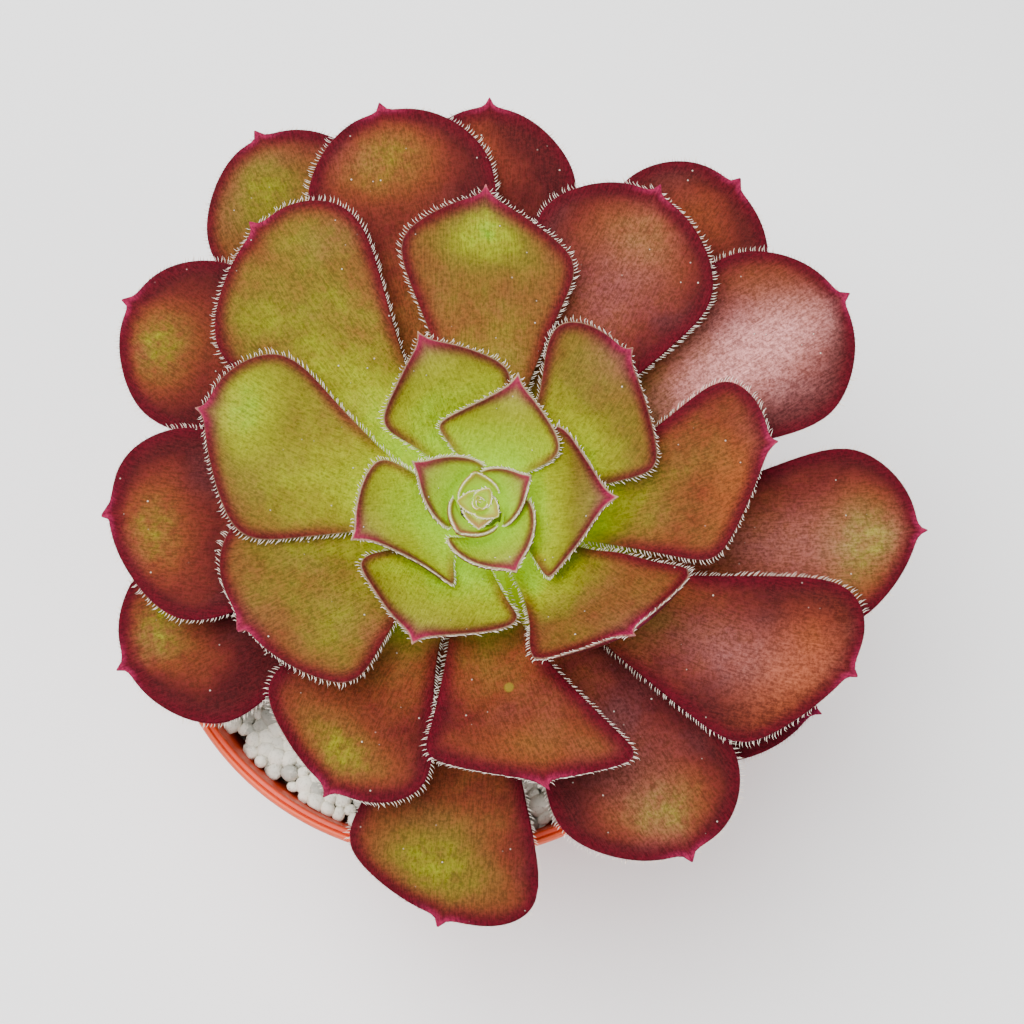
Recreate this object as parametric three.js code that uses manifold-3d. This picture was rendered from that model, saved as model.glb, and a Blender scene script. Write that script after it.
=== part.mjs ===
// A potted aeonium: one open rosette of velvety spoon-shaped leaves on a short
// woody stem, standing in a 10.5 cm plastic nursery pot filled with potting mix
// and dressed with pumice. Millimetres, +Z up, origin at the centre of the pot's
// flat underside.

import * as THREE from 'three';
import { mergeVertices } from 'three/addons/utils/BufferGeometryUtils.js';
import Module from 'manifold-3d';

const wasm = await Module();
wasm.setup();

// Pot: a 10.5 cm nursery pot, named by the width of its rim
const rimRadius = 52.5;
const potHeight = 92;
const footRadius = 35;
const footBevel = 1;
const wall = 1.2;
const floorThickness = 1.5;
const rimOverhang = 1.1;
const rimBandHeight = 9;
const rimGrooveDepth = 0.6;
const drainHoles = 8;
const drainRadius = 3;
const drainRing = 24;
const potSides = 48;

// Fill of the pot, each layer clear of its neighbours by the gap
const gap = 0.3;
const mixTop = 81.5;
const pumiceTop = 88;
const stoneSize = 6.6;
const stoneCount = 170;
const stoneScatter = 0.5;
const goldenAngle = Math.PI * (3 - Math.sqrt(5));

// Stem and the rosette that it carries, leaning toward the front
const heart = new THREE.Vector3(5.9, -0.7, 128);
const rosetteTilt = THREE.MathUtils.degToRad(9);
const stemRadius = 4.9;
const stemTipRadius = 1.1;
const stemTaper = 30;
const stemFoot = 60;
const bendBottom = 84;
const bendTop = 98;
const stemStep = 4;
const stemSides = 12;
const scarDepth = 0.06;
const budDrop = 4.2;
const leafSpacing = 0.8;
const budRadius = 1.7;
const budletDrop = 3;
const budletSeat = 0.6;
const budletThickness = 0.8;

// Leaves, from the youngest to the oldest: their pitch at the seat falls toward the
// outer pitch, and their cup toward the outer cup, over so many leaves
const innerPitch = 80;
const outerPitch = 24;
const pitchFade = 12;
const innerCup = 0.76;
const outerCup = 0.06;
const cupFade = 4.5;
const wrappedLeaves = 5;
const widestWrap = THREE.MathUtils.degToRad(105);
const leafThickness = 2.1;
const marginThickness = 0.75;
const baseShare = 0.18;
const cornerShare = 0.11;
const wedgePower = 1.8;
const shoulderSharpness = 5;
const mucroLength = 2.6;
const mucroSpread = 0.7;
const mucroHalfWidth = 0.36;
const leafGrid = { below: 6, above: 6, across: 5 };
const leafletGrid = { below: 3, above: 3, across: 3 };

// One row a leaf, youngest first: azimuth of the tip in degrees, reach of the tip
// from the rosette's axis, rise of the tip over the heart, greatest width and its
// place as a share of the length, roll in degrees, sideways swing of the midrib, lead
// of the left shoulder over the right, fullness of the end on the right and the left.
const leafRows = [
  [99, 5.5, 1.5, 8, 0.5, 0, 0, 0, 1.4, 1.4],
  [237, 7.0, 2.0, 10.8, 0.55, 0, 0, 0, 1.4, 1.4],
  [24, 9.3, 3.0, 12, 0.5, 0, 0, 0, 1.3, 1.3],
  [151, 12.2, 3.4, 14.6, 0.5, 0, 0, 0, 1.3, 1.3],
  [296, 13.4, 4.5, 18.4, 0.58, 0, 0, 0, 1.2, 1.2],
  [73, 20.5, 5.0, 19.5, 0.64, 0, 0, -0.2, 1.3, 1.1],
  [199, 20.8, 5.0, 22, 0.62, 0, 0, -0.6, 1.3, 0.9],
  [359, 21.5, 7.0, 24, 0.65, 0, 0, 0.1, 1.1, 1.1],
  [110, 28, 5.0, 21.5, 0.7, 0, -1, 0, 1.4, 1.3],
  [246, 25, 5.0, 26, 0.72, 0, 0, -0.1, 1.4, 1.3],
  [44, 34, 4.0, 25, 0.82, 0, -4, 0.55, 1.6, 2],
  [162, 47.5, 1.0, 28.5, 0.8, 0, 4, -0.35, 2, 1.5],
  [316.5, 32.5, 12, 24.8, 0.93, -10, 0, 0.33, 1.6, 1.2],
  [89, 52, 1.0, 27.5, 0.84, 0, -1, 0.2, 1.3, 1.3],
  [208, 43, 0.0, 31, 0.8, 0, 0, -0.1, 3.4, 1.8],
  [11, 48, 1.0, 25.5, 0.84, 0, -4.5, 0.6, 1.4, 1.8],
  [129, 61, -2.0, 30.5, 0.82, 0, 3.5, -0.3, 2.4, 1.9],
  [283, 46, 1.0, 27.5, 0.93, 0, -4.5, 0.6, 1.6, 1.2],
  [61, 61, -3.0, 31.5, 0.82, 0, -1.5, 0.05, 2.1, 2.2],
  [181, 62, -8.0, 31.5, 0.8, 0, 3, -0.05, 3.4, 1.7],
  [335.5, 66, -7.0, 28.5, 0.87, 0, -6, 0.4, 1.6, 2.6],
  [104, 71.5, -7.0, 31.5, 0.82, 0, 0, 0, 2.4, 2.2],
  [241.5, 52, -6.0, 29, 0.84, 0, -3.5, 0.25, 1.7, 2.2],
  [31, 71.5, -9.0, 32, 0.82, 0, 0, 0, 2.2, 2.4],
  [149, 70.5, -11, 29.5, 0.82, 0, 0, 0, 2.8, 1.9],
  [301, 65.5, -11, 30.5, 0.82, 0, 0, 0.15, 2.2, 2.6],
  [89, 71.5, -10, 30, 0.82, 0, 0, 0, 2.1, 2.1],
  [203, 65, -15, 30.5, 0.82, 0, 0, 0, 2.4, 2],
  [358, 74, -14, 30, 0.84, 0, -4, 0.2, 1.9, 2],
  [120.5, 77.5, -13, 31, 0.82, 0, 3, 0, 2.6, 2],
  [264, 67, -16, 31, 0.9, 0, 0, 0.22, 1.9, 2.6],
  [53, 73.5, -14, 31.5, 0.82, 0, 0, 0.15, 2.6, 2.4],
  [330, 65, -19, 30, 0.82, 0, -2, 0, 1.9, 1.9],
];

// The leaflets still folded in the heart, in the same columns
const budRows = [
  [322, 3.9, 1.6, 5.2, 0.5, 0, 0, 0, 1.2, 1.2],
  [184, 3.1, 1.3, 4.2, 0.5, 0, 0, 0, 1.2, 1.2],
  [47, 2.3, 1.0, 3.2, 0.5, 0, 0, 0, 1.2, 1.2],
  [269, 1.5, 0.7, 2.4, 0.5, 0, 0, 0, 1.2, 1.2],
];

// The rosette's own axes: up along the stem's top, and two across it
const up = new THREE.Vector3(0, -Math.sin(rosetteTilt), Math.cos(rosetteTilt));
const acrossX = new THREE.Vector3(1, 0, 0);
const acrossY = new THREE.Vector3().crossVectors(up, acrossX);

const lerp = THREE.MathUtils.lerp;

// A multiplying random generator with a fixed seed, so that its draws repeat
function seededRandom(seed) {
  let state = seed;
  return () => {
    state = state * 16807 % 2147483647;
    return state / 2147483647;
  };
}

function makeMesh(name, geometry, material) {
  const mesh = new THREE.Mesh(geometry, material);
  mesh.name = name;
  return mesh;
}

function material(colour, roughness) {
  return new THREE.MeshStandardMaterial({ color: colour, roughness, metalness: 0 });
}

function toManifold(geometry) {
  const bare = geometry.clone();
  bare.deleteAttribute('normal');
  bare.deleteAttribute('uv');
  const merged = mergeVertices(bare, 1e-4);
  return new wasm.Manifold(new wasm.Mesh({
    numProp: 3,
    vertProperties: Float32Array.from(merged.attributes.position.array),
    triVerts: Uint32Array.from(merged.index.array),
  }));
}

function toGeometry(solid) {
  const mesh = solid.getMesh();
  const geometry = new THREE.BufferGeometry();
  geometry.setAttribute('position', new THREE.BufferAttribute(mesh.vertProperties, 3));
  geometry.setIndex(new THREE.BufferAttribute(mesh.triVerts, 1));
  geometry.computeVertexNormals();
  return geometry;
}

// A blade as two matching grids of points, closed along its sides and ends
function bladeGeometry(top, bottom) {
  const rows = top.length;
  const columns = top[0].length;
  const positions = [];
  for (const grid of [top, bottom]) {
    for (const row of grid) {
      for (const p of row) {
        positions.push(p.x, p.y, p.z);
      }
    }
  }
  const upper = (i, j) => i * columns + j;
  const lower = (i, j) => rows * columns + i * columns + j;
  const index = [];
  const quad = (a, b, c, d) => index.push(a, c, b, a, d, c);
  for (let i = 0; i < rows - 1; i += 1) {
    for (let j = 0; j < columns - 1; j += 1) {
      quad(upper(i, j), upper(i, j + 1), upper(i + 1, j + 1), upper(i + 1, j));
      index.push(lower(i, j), lower(i, j + 1), lower(i + 1, j + 1));
      index.push(lower(i, j), lower(i + 1, j + 1), lower(i + 1, j));
    }
    quad(upper(i, 0), upper(i + 1, 0), lower(i + 1, 0), lower(i, 0));
    const last = columns - 1;
    quad(upper(i + 1, last), upper(i, last), lower(i, last), lower(i + 1, last));
  }
  for (let j = 0; j < columns - 1; j += 1) {
    quad(upper(0, j + 1), upper(0, j), lower(0, j), lower(0, j + 1));
    const end = rows - 1;
    quad(upper(end, j), upper(end, j + 1), lower(end, j + 1), lower(end, j));
  }
  const geometry = new THREE.BufferGeometry();
  geometry.setAttribute('position', new THREE.Float32BufferAttribute(positions, 3));
  geometry.setIndex(index);
  geometry.computeVertexNormals();
  return geometry;
}

// A closed skin over a stack of rings, each a list of as many points
function loftGeometry(rings) {
  const count = rings[0].length;
  const positions = rings.flat().flatMap((p) => [p.x, p.y, p.z]);
  const index = [];
  for (let i = 0; i < rings.length - 1; i += 1) {
    for (let j = 0; j < count; j += 1) {
      const next = (j + 1) % count;
      const a = i * count + j;
      const b = i * count + next;
      index.push(a, b, b + count, a, b + count, a + count);
    }
  }
  const last = (rings.length - 1) * count;
  for (let j = 1; j < count - 1; j += 1) {
    index.push(0, j + 1, j);
    index.push(last, last + j, last + j + 1);
  }
  const geometry = new THREE.BufferGeometry();
  geometry.setAttribute('position', new THREE.Float32BufferAttribute(positions, 3));
  geometry.setIndex(index);
  geometry.computeVertexNormals();
  return geometry;
}

// Half the leaf's width on one side: a wedge that flares from the base, closed by
// an end that is pointed at fullness 1 and squarer above it
function halfWidth(along, width, widest, fullness) {
  const wedge = baseShare + (1 - baseShare) * Math.pow(along / widest, wedgePower);
  const end = Math.pow(Math.max(1 - along, 1e-6) / (1 - widest), 1 / fullness);
  const n = shoulderSharpness;
  const blend = Math.pow((Math.pow(wedge, -n) + Math.pow(end, -n)) / 2, -1 / n);
  return Math.max(width / 2 * blend, mucroHalfWidth);
}

// The stem's radius at a distance below the heart, and its axis at a height: upright
// in the ground, then bent onto the rosette's axis
function stemRadiusAt(drop) {
  return lerp(stemTipRadius, stemRadius, Math.min(1, Math.pow(drop / stemTaper, 0.8)));
}

function rosetteAxisAt(z) {
  return heart.clone().addScaledVector(up, (z - heart.z) / up.z);
}

const stemBase = rosetteAxisAt((bendBottom + bendTop) / 2);

function stemCentreAt(z) {
  const bent = THREE.MathUtils.smoothstep(z, bendBottom, bendTop);
  return new THREE.Vector3(stemBase.x, lerp(stemBase.y, rosetteAxisAt(z).y, bent), z);
}

// The midrib of a leaf, from its seat on the stem up and out to its tip
function midribCurve(row, pitch, drop, seatRadius) {
  const [azimuth, reach, rise] = row;
  const swing = row[6];
  const angle = THREE.MathUtils.degToRad(azimuth);
  const outward = acrossX.clone()
    .multiplyScalar(Math.cos(angle))
    .addScaledVector(acrossY, Math.sin(angle));
  const sideways = new THREE.Vector3().crossVectors(up, outward);
  const start = heart.clone().addScaledVector(up, -drop).addScaledVector(outward, seatRadius);
  const bladeReach = reach - 0.6 * mucroLength;
  const tip = heart.clone().addScaledVector(up, rise).addScaledVector(outward, bladeReach);
  const lever = 0.45 * start.distanceTo(tip);
  const middle = start.clone()
    .addScaledVector(outward, lever * Math.cos(pitch))
    .addScaledVector(up, lever * Math.sin(pitch))
    .addScaledVector(sideways, 1.5 * swing);
  return new THREE.QuadraticBezierCurve3(start, middle, tip);
}

// Places of the sections as shares of the length, closer together toward the tip
function sectionPlaces(widest, grid) {
  const places = [];
  for (let i = 0; i < grid.below; i += 1) {
    places.push(widest * i / grid.below);
  }
  for (let i = 0; i <= grid.above; i += 1) {
    places.push(lerp(widest, 1, Math.sin(Math.PI / 2 * i / grid.above)));
  }
  return places;
}

function leafPitch(rank) {
  return THREE.MathUtils.degToRad(lerp(outerPitch, innerPitch, Math.exp(-rank / pitchFade)));
}

function leafCup(rank) {
  return lerp(outerCup, innerCup, Math.exp(-rank / cupFade));
}

// The youngest leaves wrap round the rosette's axis: the angle that a point beside the
// midrib turns by, from its offset along the arc, and the midrib's point turned by it
function wrapAngle(centre, offset) {
  const fromHeart = centre.clone().sub(heart);
  const radius = fromHeart.addScaledVector(up, -fromHeart.dot(up)).length();
  return THREE.MathUtils.clamp(offset / radius, -widestWrap, widestWrap);
}

function turnedAboutAxis(centre, angle) {
  return centre.clone().sub(heart).applyAxisAngle(up, angle).add(heart);
}

// One leaf: steeper, more cupped and thinner the younger it is. The mucro is the
// midrib drawn out where the blade has narrowed to nothing.
function leafGeometry(row, { rank, drop, seatRadius, thick, wrapped, grid }) {
  const [, , , width, widest, roll, , lead, fullRight, fullLeft] = row;
  const cup = leafCup(rank);
  const midrib = midribCurve(row, leafPitch(rank), drop, seatRadius);
  const top = [];
  const bottom = [];
  for (const along of sectionPlaces(widest, grid)) {
    const right = halfWidth(along, width, widest, fullRight);
    const left = halfWidth(along, width, widest, fullLeft);
    const half = (left + right) / 2;
    const tangent = midrib.getTangent(along);
    const turn = THREE.MathUtils.degToRad(roll) * along;
    const level = new THREE.Vector3().crossVectors(up, tangent).normalize();
    const side = level.applyAxisAngle(tangent, turn);
    const normal = new THREE.Vector3().crossVectors(tangent, side);
    const drawnOut = mucroLength * Math.exp(-half / mucroSpread);
    const centre = midrib.getPoint(along).addScaledVector(tangent, drawnOut);
    const ribThickness = lerp(marginThickness, thick, Math.min(1, half / (0.3 * width)));
    const topRow = [];
    const bottomRow = [];
    for (let j = 0; j < grid.across; j += 1) {
      const across = lerp(-1, 1, j / (grid.across - 1));
      const offset = across * (across < 0 ? right : left);
      const thickness = lerp(marginThickness, ribThickness, Math.pow(1 - across * across, 0.8));
      const spread = centre.clone()
        .addScaledVector(side, offset)
        .addScaledVector(tangent, lead * offset * along * along);
      const wrap = wrapped ? wrapAngle(centre, offset) : 0;
      const over = normal.clone().applyAxisAngle(up, wrap);
      const place = wrapped ? turnedAboutAxis(centre, wrap) : spread;
      const raised = wrapped ? 0 : cup * half * across * across;
      const point = place.addScaledVector(over, raised + marginThickness / 2);
      topRow.push(point);
      bottomRow.push(point.clone().addScaledVector(over, -thickness));
    }
    top.push(topRow);
    bottom.push(bottomRow);
  }
  return bladeGeometry(top, bottom);
}

// A leaf of the rosette. Its base is seated a gap clear of the stem, measured to the
// upper edge and to the corner that the swing turns inward.
function rosetteLeaf(row, rank) {
  const drop = budDrop + leafSpacing * rank;
  const thick = leafThickness * Math.min(1, 0.5 + rank / 16);
  const baseHalf = baseShare * row[3] / 2;
  const edgeHeight = marginThickness / 2 + leafCup(rank) * baseHalf;
  const clearance = gap + edgeHeight * Math.sin(leafPitch(rank)) + cornerShare * Math.abs(row[6]);
  const seatRadius = stemRadiusAt(drop) + clearance;
  const wrapped = rank < wrappedLeaves;
  return leafGeometry(row, { rank, drop, seatRadius, thick, wrapped, grid: leafGrid });
}

// The heart: a small dome with its folded leaflets rooted in it
function budGeometry() {
  const dome = new THREE.SphereGeometry(budRadius, 8, 6);
  dome.rotateX(Math.PI / 2);
  dome.rotateX(rosetteTilt);
  const seat = heart.clone().addScaledVector(up, budRadius - budDrop + 0.4);
  dome.translate(seat.x, seat.y, seat.z);
  const seated = {
    rank: 0,
    drop: budletDrop,
    seatRadius: budletSeat,
    thick: budletThickness,
    wrapped: false,
    grid: leafletGrid,
  };
  const leaflets = budRows.map((row) => toManifold(leafGeometry(row, seated)));
  return toGeometry(wasm.Manifold.union([toManifold(dome), ...leaflets]));
}

// Radius of the pot's outer wall at a height
function potRadius(z) {
  return lerp(footRadius, rimRadius - rimOverhang, z / potHeight);
}

function circlePoints(radius, sides) {
  const points = [];
  for (let i = 0; i < sides; i += 1) {
    const angle = 2 * Math.PI * i / sides;
    points.push(new THREE.Vector2(radius * Math.cos(angle), radius * Math.sin(angle)));
  }
  return points;
}

// A straight round bar standing on z = bottom
function standingRod(radius, bottom, height, sides, x, y) {
  const rod = new THREE.CylinderGeometry(radius, radius, height, sides);
  rod.rotateX(Math.PI / 2);
  rod.translate(x, y, bottom + height / 2);
  return toManifold(rod);
}

// Turned profile about the pot's axis, given as pairs of radius and height
function turned(profile) {
  const lathe = new THREE.LatheGeometry(profile.map(([r, z]) => new THREE.Vector2(r, z)), potSides);
  lathe.rotateX(Math.PI / 2);
  return toManifold(lathe);
}

function potGeometry() {
  const lip = rimRadius - rimOverhang;
  const band = potHeight - rimBandHeight;
  const profile = [
    [0, 0],
    [footRadius - footBevel, 0],
    [footRadius, footBevel],
    [potRadius(band), band],
    [rimRadius - 0.9, band],
    [rimRadius - 0.2, potHeight - 2.2],
    [rimRadius, potHeight - 1],
    [rimRadius - 0.4, potHeight - 0.15],
    [rimRadius - 1, potHeight - 0.15],
    [rimRadius - 1.1, potHeight - rimGrooveDepth],
    [rimRadius - 1.25, potHeight],
    [lip - wall + 0.3, potHeight],
    [lip - wall, potHeight - rimGrooveDepth],
    [potRadius(band) - wall, band],
    [potRadius(floorThickness) - wall, floorThickness],
    [0, floorThickness],
  ];
  let pot = turned(profile);
  for (let i = 0; i < drainHoles; i += 1) {
    const angle = 2 * Math.PI * (i + 0.5) / drainHoles;
    const x = drainRing * Math.cos(angle);
    const y = drainRing * Math.sin(angle);
    pot = pot.subtract(standingRod(drainRadius, -1, floorThickness + 2, 12, x, y));
  }
  return toGeometry(pot);
}

// Inner radius of the pot less the clearance, at a height
function fillRadius(z) {
  return potRadius(z) - wall - gap;
}

// A layer that fills the pot between two heights
function fillLayer(bottom, top) {
  return turned([[0, bottom], [fillRadius(bottom), bottom], [fillRadius(top), top], [0, top]]);
}

// The hole that the stem stands in, from a height up through the fill
function stemHole(bottom) {
  return standingRod(stemRadius + gap, bottom, potHeight - bottom, 24, stemBase.x, stemBase.y);
}

function mixGeometry() {
  const mix = fillLayer(floorThickness + gap, mixTop);
  return toGeometry(mix.subtract(stemHole(stemFoot - gap)));
}

// A bed of rounded stones set by the golden angle, each turned and sized at random
function pumiceGeometry() {
  const random = seededRandom(7);
  const bedTop = pumiceTop - stoneSize * 0.45;
  const bottom = mixTop + gap;
  const spread = fillRadius(bedTop) - stoneSize / 2;
  const stones = [fillLayer(bottom, bedTop)];
  for (let i = 0; i < stoneCount; i += 1) {
    const ring = spread * Math.sqrt((i + 0.5) / stoneCount);
    const turn = i * goldenAngle;
    const x = ring * Math.cos(turn) + lerp(-stoneScatter, stoneScatter, random());
    const y = ring * Math.sin(turn) + lerp(-stoneScatter, stoneScatter, random());
    const size = stoneSize * lerp(0.85, 1.1, random());
    const stone = new THREE.IcosahedronGeometry(size / 2, 0);
    stone.scale(1, lerp(0.8, 1, random()), lerp(0.7, 0.9, random()));
    stone.rotateX(lerp(-0.5, 0.5, random()));
    stone.rotateZ(2 * Math.PI * random());
    stone.translate(x, y, bedTop + lerp(-0.3, 0.5, random()));
    stones.push(toManifold(stone));
  }
  const bed = wasm.Manifold.union(stones);
  return toGeometry(bed.intersect(fillLayer(bottom, potHeight)).subtract(stemHole(mixTop)));
}

// The stem, narrowing to the heart, with a low ridge at each old leaf scar
function stemGeometry() {
  const rings = [];
  const top = heart.z - budDrop;
  const steps = Math.ceil((top - stemFoot) / stemStep);
  for (let i = 0; i <= steps; i += 1) {
    const z = lerp(stemFoot, top, i / steps);
    const bare = z > mixTop && z < bendTop;
    const scar = bare && i % 2 === 1 ? 1 - scarDepth : 1;
    const radius = stemRadiusAt((heart.z - z) / up.z) * scar;
    const centre = stemCentreAt(z);
    const ring = [];
    for (const p of circlePoints(radius, stemSides)) {
      ring.push(new THREE.Vector3(centre.x + p.x, centre.y + p.y, z));
    }
    rings.push(ring);
  }
  return loftGeometry(rings);
}

const plant = new THREE.Group();
leafRows.forEach((row, rank) => {
  const name = `leaf_${String(rank + 1).padStart(2, '0')}`;
  const age = rank / (leafRows.length - 1);
  const colour = new THREE.Color(0x9fc43a).lerp(new THREE.Color(0x6b2a33), age);
  plant.add(makeMesh(name, rosetteLeaf(row, rank), material(colour, 0.55)));
});

plant.add(makeMesh('heart_bud', budGeometry(), material(0xb9d64a, 0.5)));
plant.add(makeMesh('stem', stemGeometry(), material(0x7a5f42, 0.85)));

const filledPot = new THREE.Group();
filledPot.add(makeMesh('pot', potGeometry(), material(0xd9683f, 0.45)));
filledPot.add(makeMesh('potting_mix', mixGeometry(), material(0x3a2a20, 0.95)));
filledPot.add(makeMesh('pumice', pumiceGeometry(), material(0xd8d4c8, 0.9)));

const aeonium = new THREE.Group();
aeonium.add(filledPot, plant);
export default aeonium;
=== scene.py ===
import math
from collections import namedtuple

import bpy
import numpy as np
from bpy.props import FloatProperty, FloatVectorProperty, IntProperty, PointerProperty
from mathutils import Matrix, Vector


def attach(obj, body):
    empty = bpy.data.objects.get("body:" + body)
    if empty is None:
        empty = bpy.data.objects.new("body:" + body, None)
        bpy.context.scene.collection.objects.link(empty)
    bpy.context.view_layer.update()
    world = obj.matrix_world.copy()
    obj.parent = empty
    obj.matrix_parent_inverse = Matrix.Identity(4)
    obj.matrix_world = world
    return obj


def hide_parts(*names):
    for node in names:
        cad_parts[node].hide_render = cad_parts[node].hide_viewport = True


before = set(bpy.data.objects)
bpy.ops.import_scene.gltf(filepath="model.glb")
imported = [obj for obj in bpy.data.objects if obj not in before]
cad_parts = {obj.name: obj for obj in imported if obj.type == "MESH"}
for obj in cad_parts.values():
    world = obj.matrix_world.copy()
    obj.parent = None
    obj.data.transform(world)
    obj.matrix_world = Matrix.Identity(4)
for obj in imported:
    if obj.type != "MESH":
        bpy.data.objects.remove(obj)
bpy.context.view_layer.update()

bl_info = {
    "name": "Potted Aeonium",
    "version": (1, 0, 0),
    "blender": (4, 5, 0),
    "location": "View3D > Sidebar > Aeonium",
    "description": "Dresses the packed model of an aeonium with leaves, hairs, stones and a pot",
    "category": "Object",
}

# Lengths in this file are millimetres, and become metres where a mesh is written
MM = 0.001

# The rosette: its heart, and its axes, one up along the stem's top and two across it.
# Leaves sit on the stem from a drop under the heart on down, evenly spaced
HEART = np.array([5.9, -0.7, 128.0])
TILT = math.radians(9)
UP = np.array([0.0, -math.sin(TILT), math.cos(TILT)])
ACROSS_X = np.array([1.0, 0.0, 0.0])
ACROSS_Y = np.cross(UP, ACROSS_X)
BUD_DROP = 4.2
LEAF_SPACING = 0.8

# The heart: a dome, and leaflets that sit round the axis
BUD_RADIUS = 1.7
BUD_LIFT = 0.4
BUDLET_DROP = 3.0
BUDLET_SEAT = 0.6
BUDLET_THICKNESS = 0.6

# How leaves change from the youngest to the oldest, as in the solids: the pitch of their
# midribs and their cup, each fading over so many leaves. The first few wrap round the axis
INNER_PITCH, OUTER_PITCH, PITCH_FADE = 80.0, 24.0, 12.0
INNER_CUP, OUTER_CUP, CUP_FADE = 0.76, 0.06, 4.5
WRAPPED_LEAVES = 5
WIDEST_WRAP = math.radians(105)

# A leaf's midrib: the length of its curve's handle as a share of the whole, and how far a
# swing of 1 moves that handle sideways
LEVER_SHARE = 0.45
SWING_GAIN = 1.5

# A leaf's blade, as in the solids but for its point, the mucro, which is a little shorter.
# The blade thins toward its margins by a power, and where it is narrow: its edge below a
# half width, and its rib below a share of the leaf's width
LEAF_THICKNESS = 2.1
YOUNG_THICKNESS, THICKENING_RANKS = 0.5, 16
MARGIN_THICKNESS = 0.75
BASE_SHARE = 0.18
CORNER_SHARE = 0.11
WEDGE_POWER = 1.8
SHOULDER_SHARPNESS = 5.0
SECTION_POWER = 0.8
THIN_HALF_WIDTH = 0.45
RIB_SHARE = 0.3
MUCRO_LENGTH = 2.1
MUCRO_INSET = 0.6
MUCRO_SPREAD = 0.7
MUCRO_POINT = 0.1
GAP = 0.3

# The relief of a leaf: two waves along each margin, in radians from base to tip, the step
# of their phase from leaf to leaf and from side to side, the width of the midrib's channel,
# and the rank from which all that is full
LONG_WAVE, SHORT_WAVE, SHORT_WAVE_SHARE = 15, 27, 0.6
LEAF_PHASE, SIDE_PHASE = 2.3, 1.9
CHANNEL_WIDTH = 1.6
FULL_RELIEF_RANK = 12

# Leaf colour: the places along the blade where the rows of FLUSHES state the flush, the
# rank from which a leaf counts as old, and how much redder its skin is along the margins
# and underneath. The patch and the painted sheen, a pale velvet highlight painted into the
# colour, are bells along and across the blade, and the apex is a bell about its tip
FLUSH_PLACES = (0.1, 0.46, 0.78)
RIPE_RANK = 16
MARGIN_FLUSH, MARGIN_FLUSH_WIDTH = 0.34, 2.6
UNDERSIDE_FLUSH = 0.1
PATCH_PLACE, PATCH_LENGTH, PATCH_WIDTH = 0.9, 0.1, 0.65
# The painted sheen: a pale velvet highlight painted into the colour, a bell along and across
PAINTED_SHEEN_PLACE, PAINTED_SHEEN_LENGTH = 0.76, 0.2
PAINTED_SHEEN_SIDE, PAINTED_SHEEN_WIDTH = -0.05, 0.42
APEX_WIDTH = 5.5

# The colours of the flush, by their names in the settings
FLUSH_SCALE = (
    (0.0, "lime"), (0.22, "chartreuse"), (0.40, "olive"), (0.55, "bronze"), (0.72, "russet"),
    (0.88, "burgundy"), (1.0, "maroon"),
)

# The dark band inside a margin: its width on a young leaf, what the apex and age add to
# that, how far in it is full, and its strength. Leaves narrower than these have a band
# that is narrower, and fainter
BAND_WIDTH, BAND_AT_APEX, BAND_WITH_AGE, BAND_FULL = 1.3, 2.0, 1.6, 0.3
BAND_STRENGTH = 0.92
WIDE_BAND_LEAF, DARK_BAND_LEAF = 14, 12

# Shades that the finishes mix with the colours in the settings
# Painted light: the green glow given as emission to young tissue and the deep heart
PAINTED_GLOW_GREEN = (0.33, 0.56, 0.0)
VELVET_SHADE = (0.46, 0.43, 0.43)
TERRACOTTA_LIGHT = (0.56, 0.042, 0.007)
# Painted highlight on the rim's rounded bead
PAINTED_BEAD_HIGHLIGHT = (0.70, 0.09, 0.025)
POT_DUST = (0.5, 0.32, 0.2)
POT_SCUFF = (0.9, 0.4, 0.22)
STONE_GREY = (0.42, 0.41, 0.35)
STONE_CREAM = (0.72, 0.68, 0.57)
# Painted shade in the pores' hollows
PAINTED_PORE_SHADE = (0.4, 0.37, 0.31)
SOIL_CRUMB = (0.11, 0.07, 0.04)
SOIL_FIBRE = (0.2, 0.13, 0.07)
SOIL_GRAIN = (0.7, 0.67, 0.6)
BARK_LIGHT = (0.22, 0.15, 0.09)
BARK_GREEN = (0.17, 0.22, 0.01)
FLOOR_PALE = (0.92, 0.92, 0.92)
WHITE = (1.0, 1.0, 1.0)
BLACK = (0, 0, 0)

# Hairs: the bare share of a margin at the leaf's foot, the bare end at its tip, how deep a
# hair is rooted, and the ranges of its slant and size and the spread of its lift
BARE_SHARE = 0.14
BARE_TIP = 0.8
HAIR_ROOT = 0.12
HAIR_SLANT = (0.2, 0.6)
HAIR_LIFT = (0.1, 0.15)
HAIR_SIZE = (0.6, 1.2)

# How finely a blade, a leaflet and the margins are divided
BLADE_GRID = (64, 64)
BUDLET_GRID = (32, 48)
INWARD_ROWS = 260
HAIR_ROWS = 220

# Stem, its bend, and the leaf scars on its bark
STEM_RADIUS = 4.9
STEM_TIP_RADIUS = 1.1
STEM_TAPER = 30.0
STEM_FOOT = 60.0
BEND_BOTTOM = 84.0
BEND_TOP = 98.0
GOLDEN_ANGLE = math.pi * (3 - math.sqrt(5))
SCARS = 26
SCAR_START, SCAR_SPACING = 82.0, 0.75
SCAR_WIDTH, SCAR_HEIGHT = 1.7, 0.55
SCAR_DEPTH = 0.22
GREEN_FROM, GREEN_TO = 100, 116

# Pot and its fill
RIM_RADIUS = 52.5
POT_HEIGHT = 92.0
FOOT_RADIUS = 35.0
WALL = 1.2
FLOOR_THICKNESS = 1.5
RIM_OVERHANG = 1.1
RIM_BAND_HEIGHT = 9.0
RIM_GROOVE_DEPTH = 0.6
DRAIN_HOLES = 8
DRAIN_RADIUS = 3.0
DRAIN_RING = 24.0
PUMICE_TOP = 88.0
DUST_HEIGHT = 30.0

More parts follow.
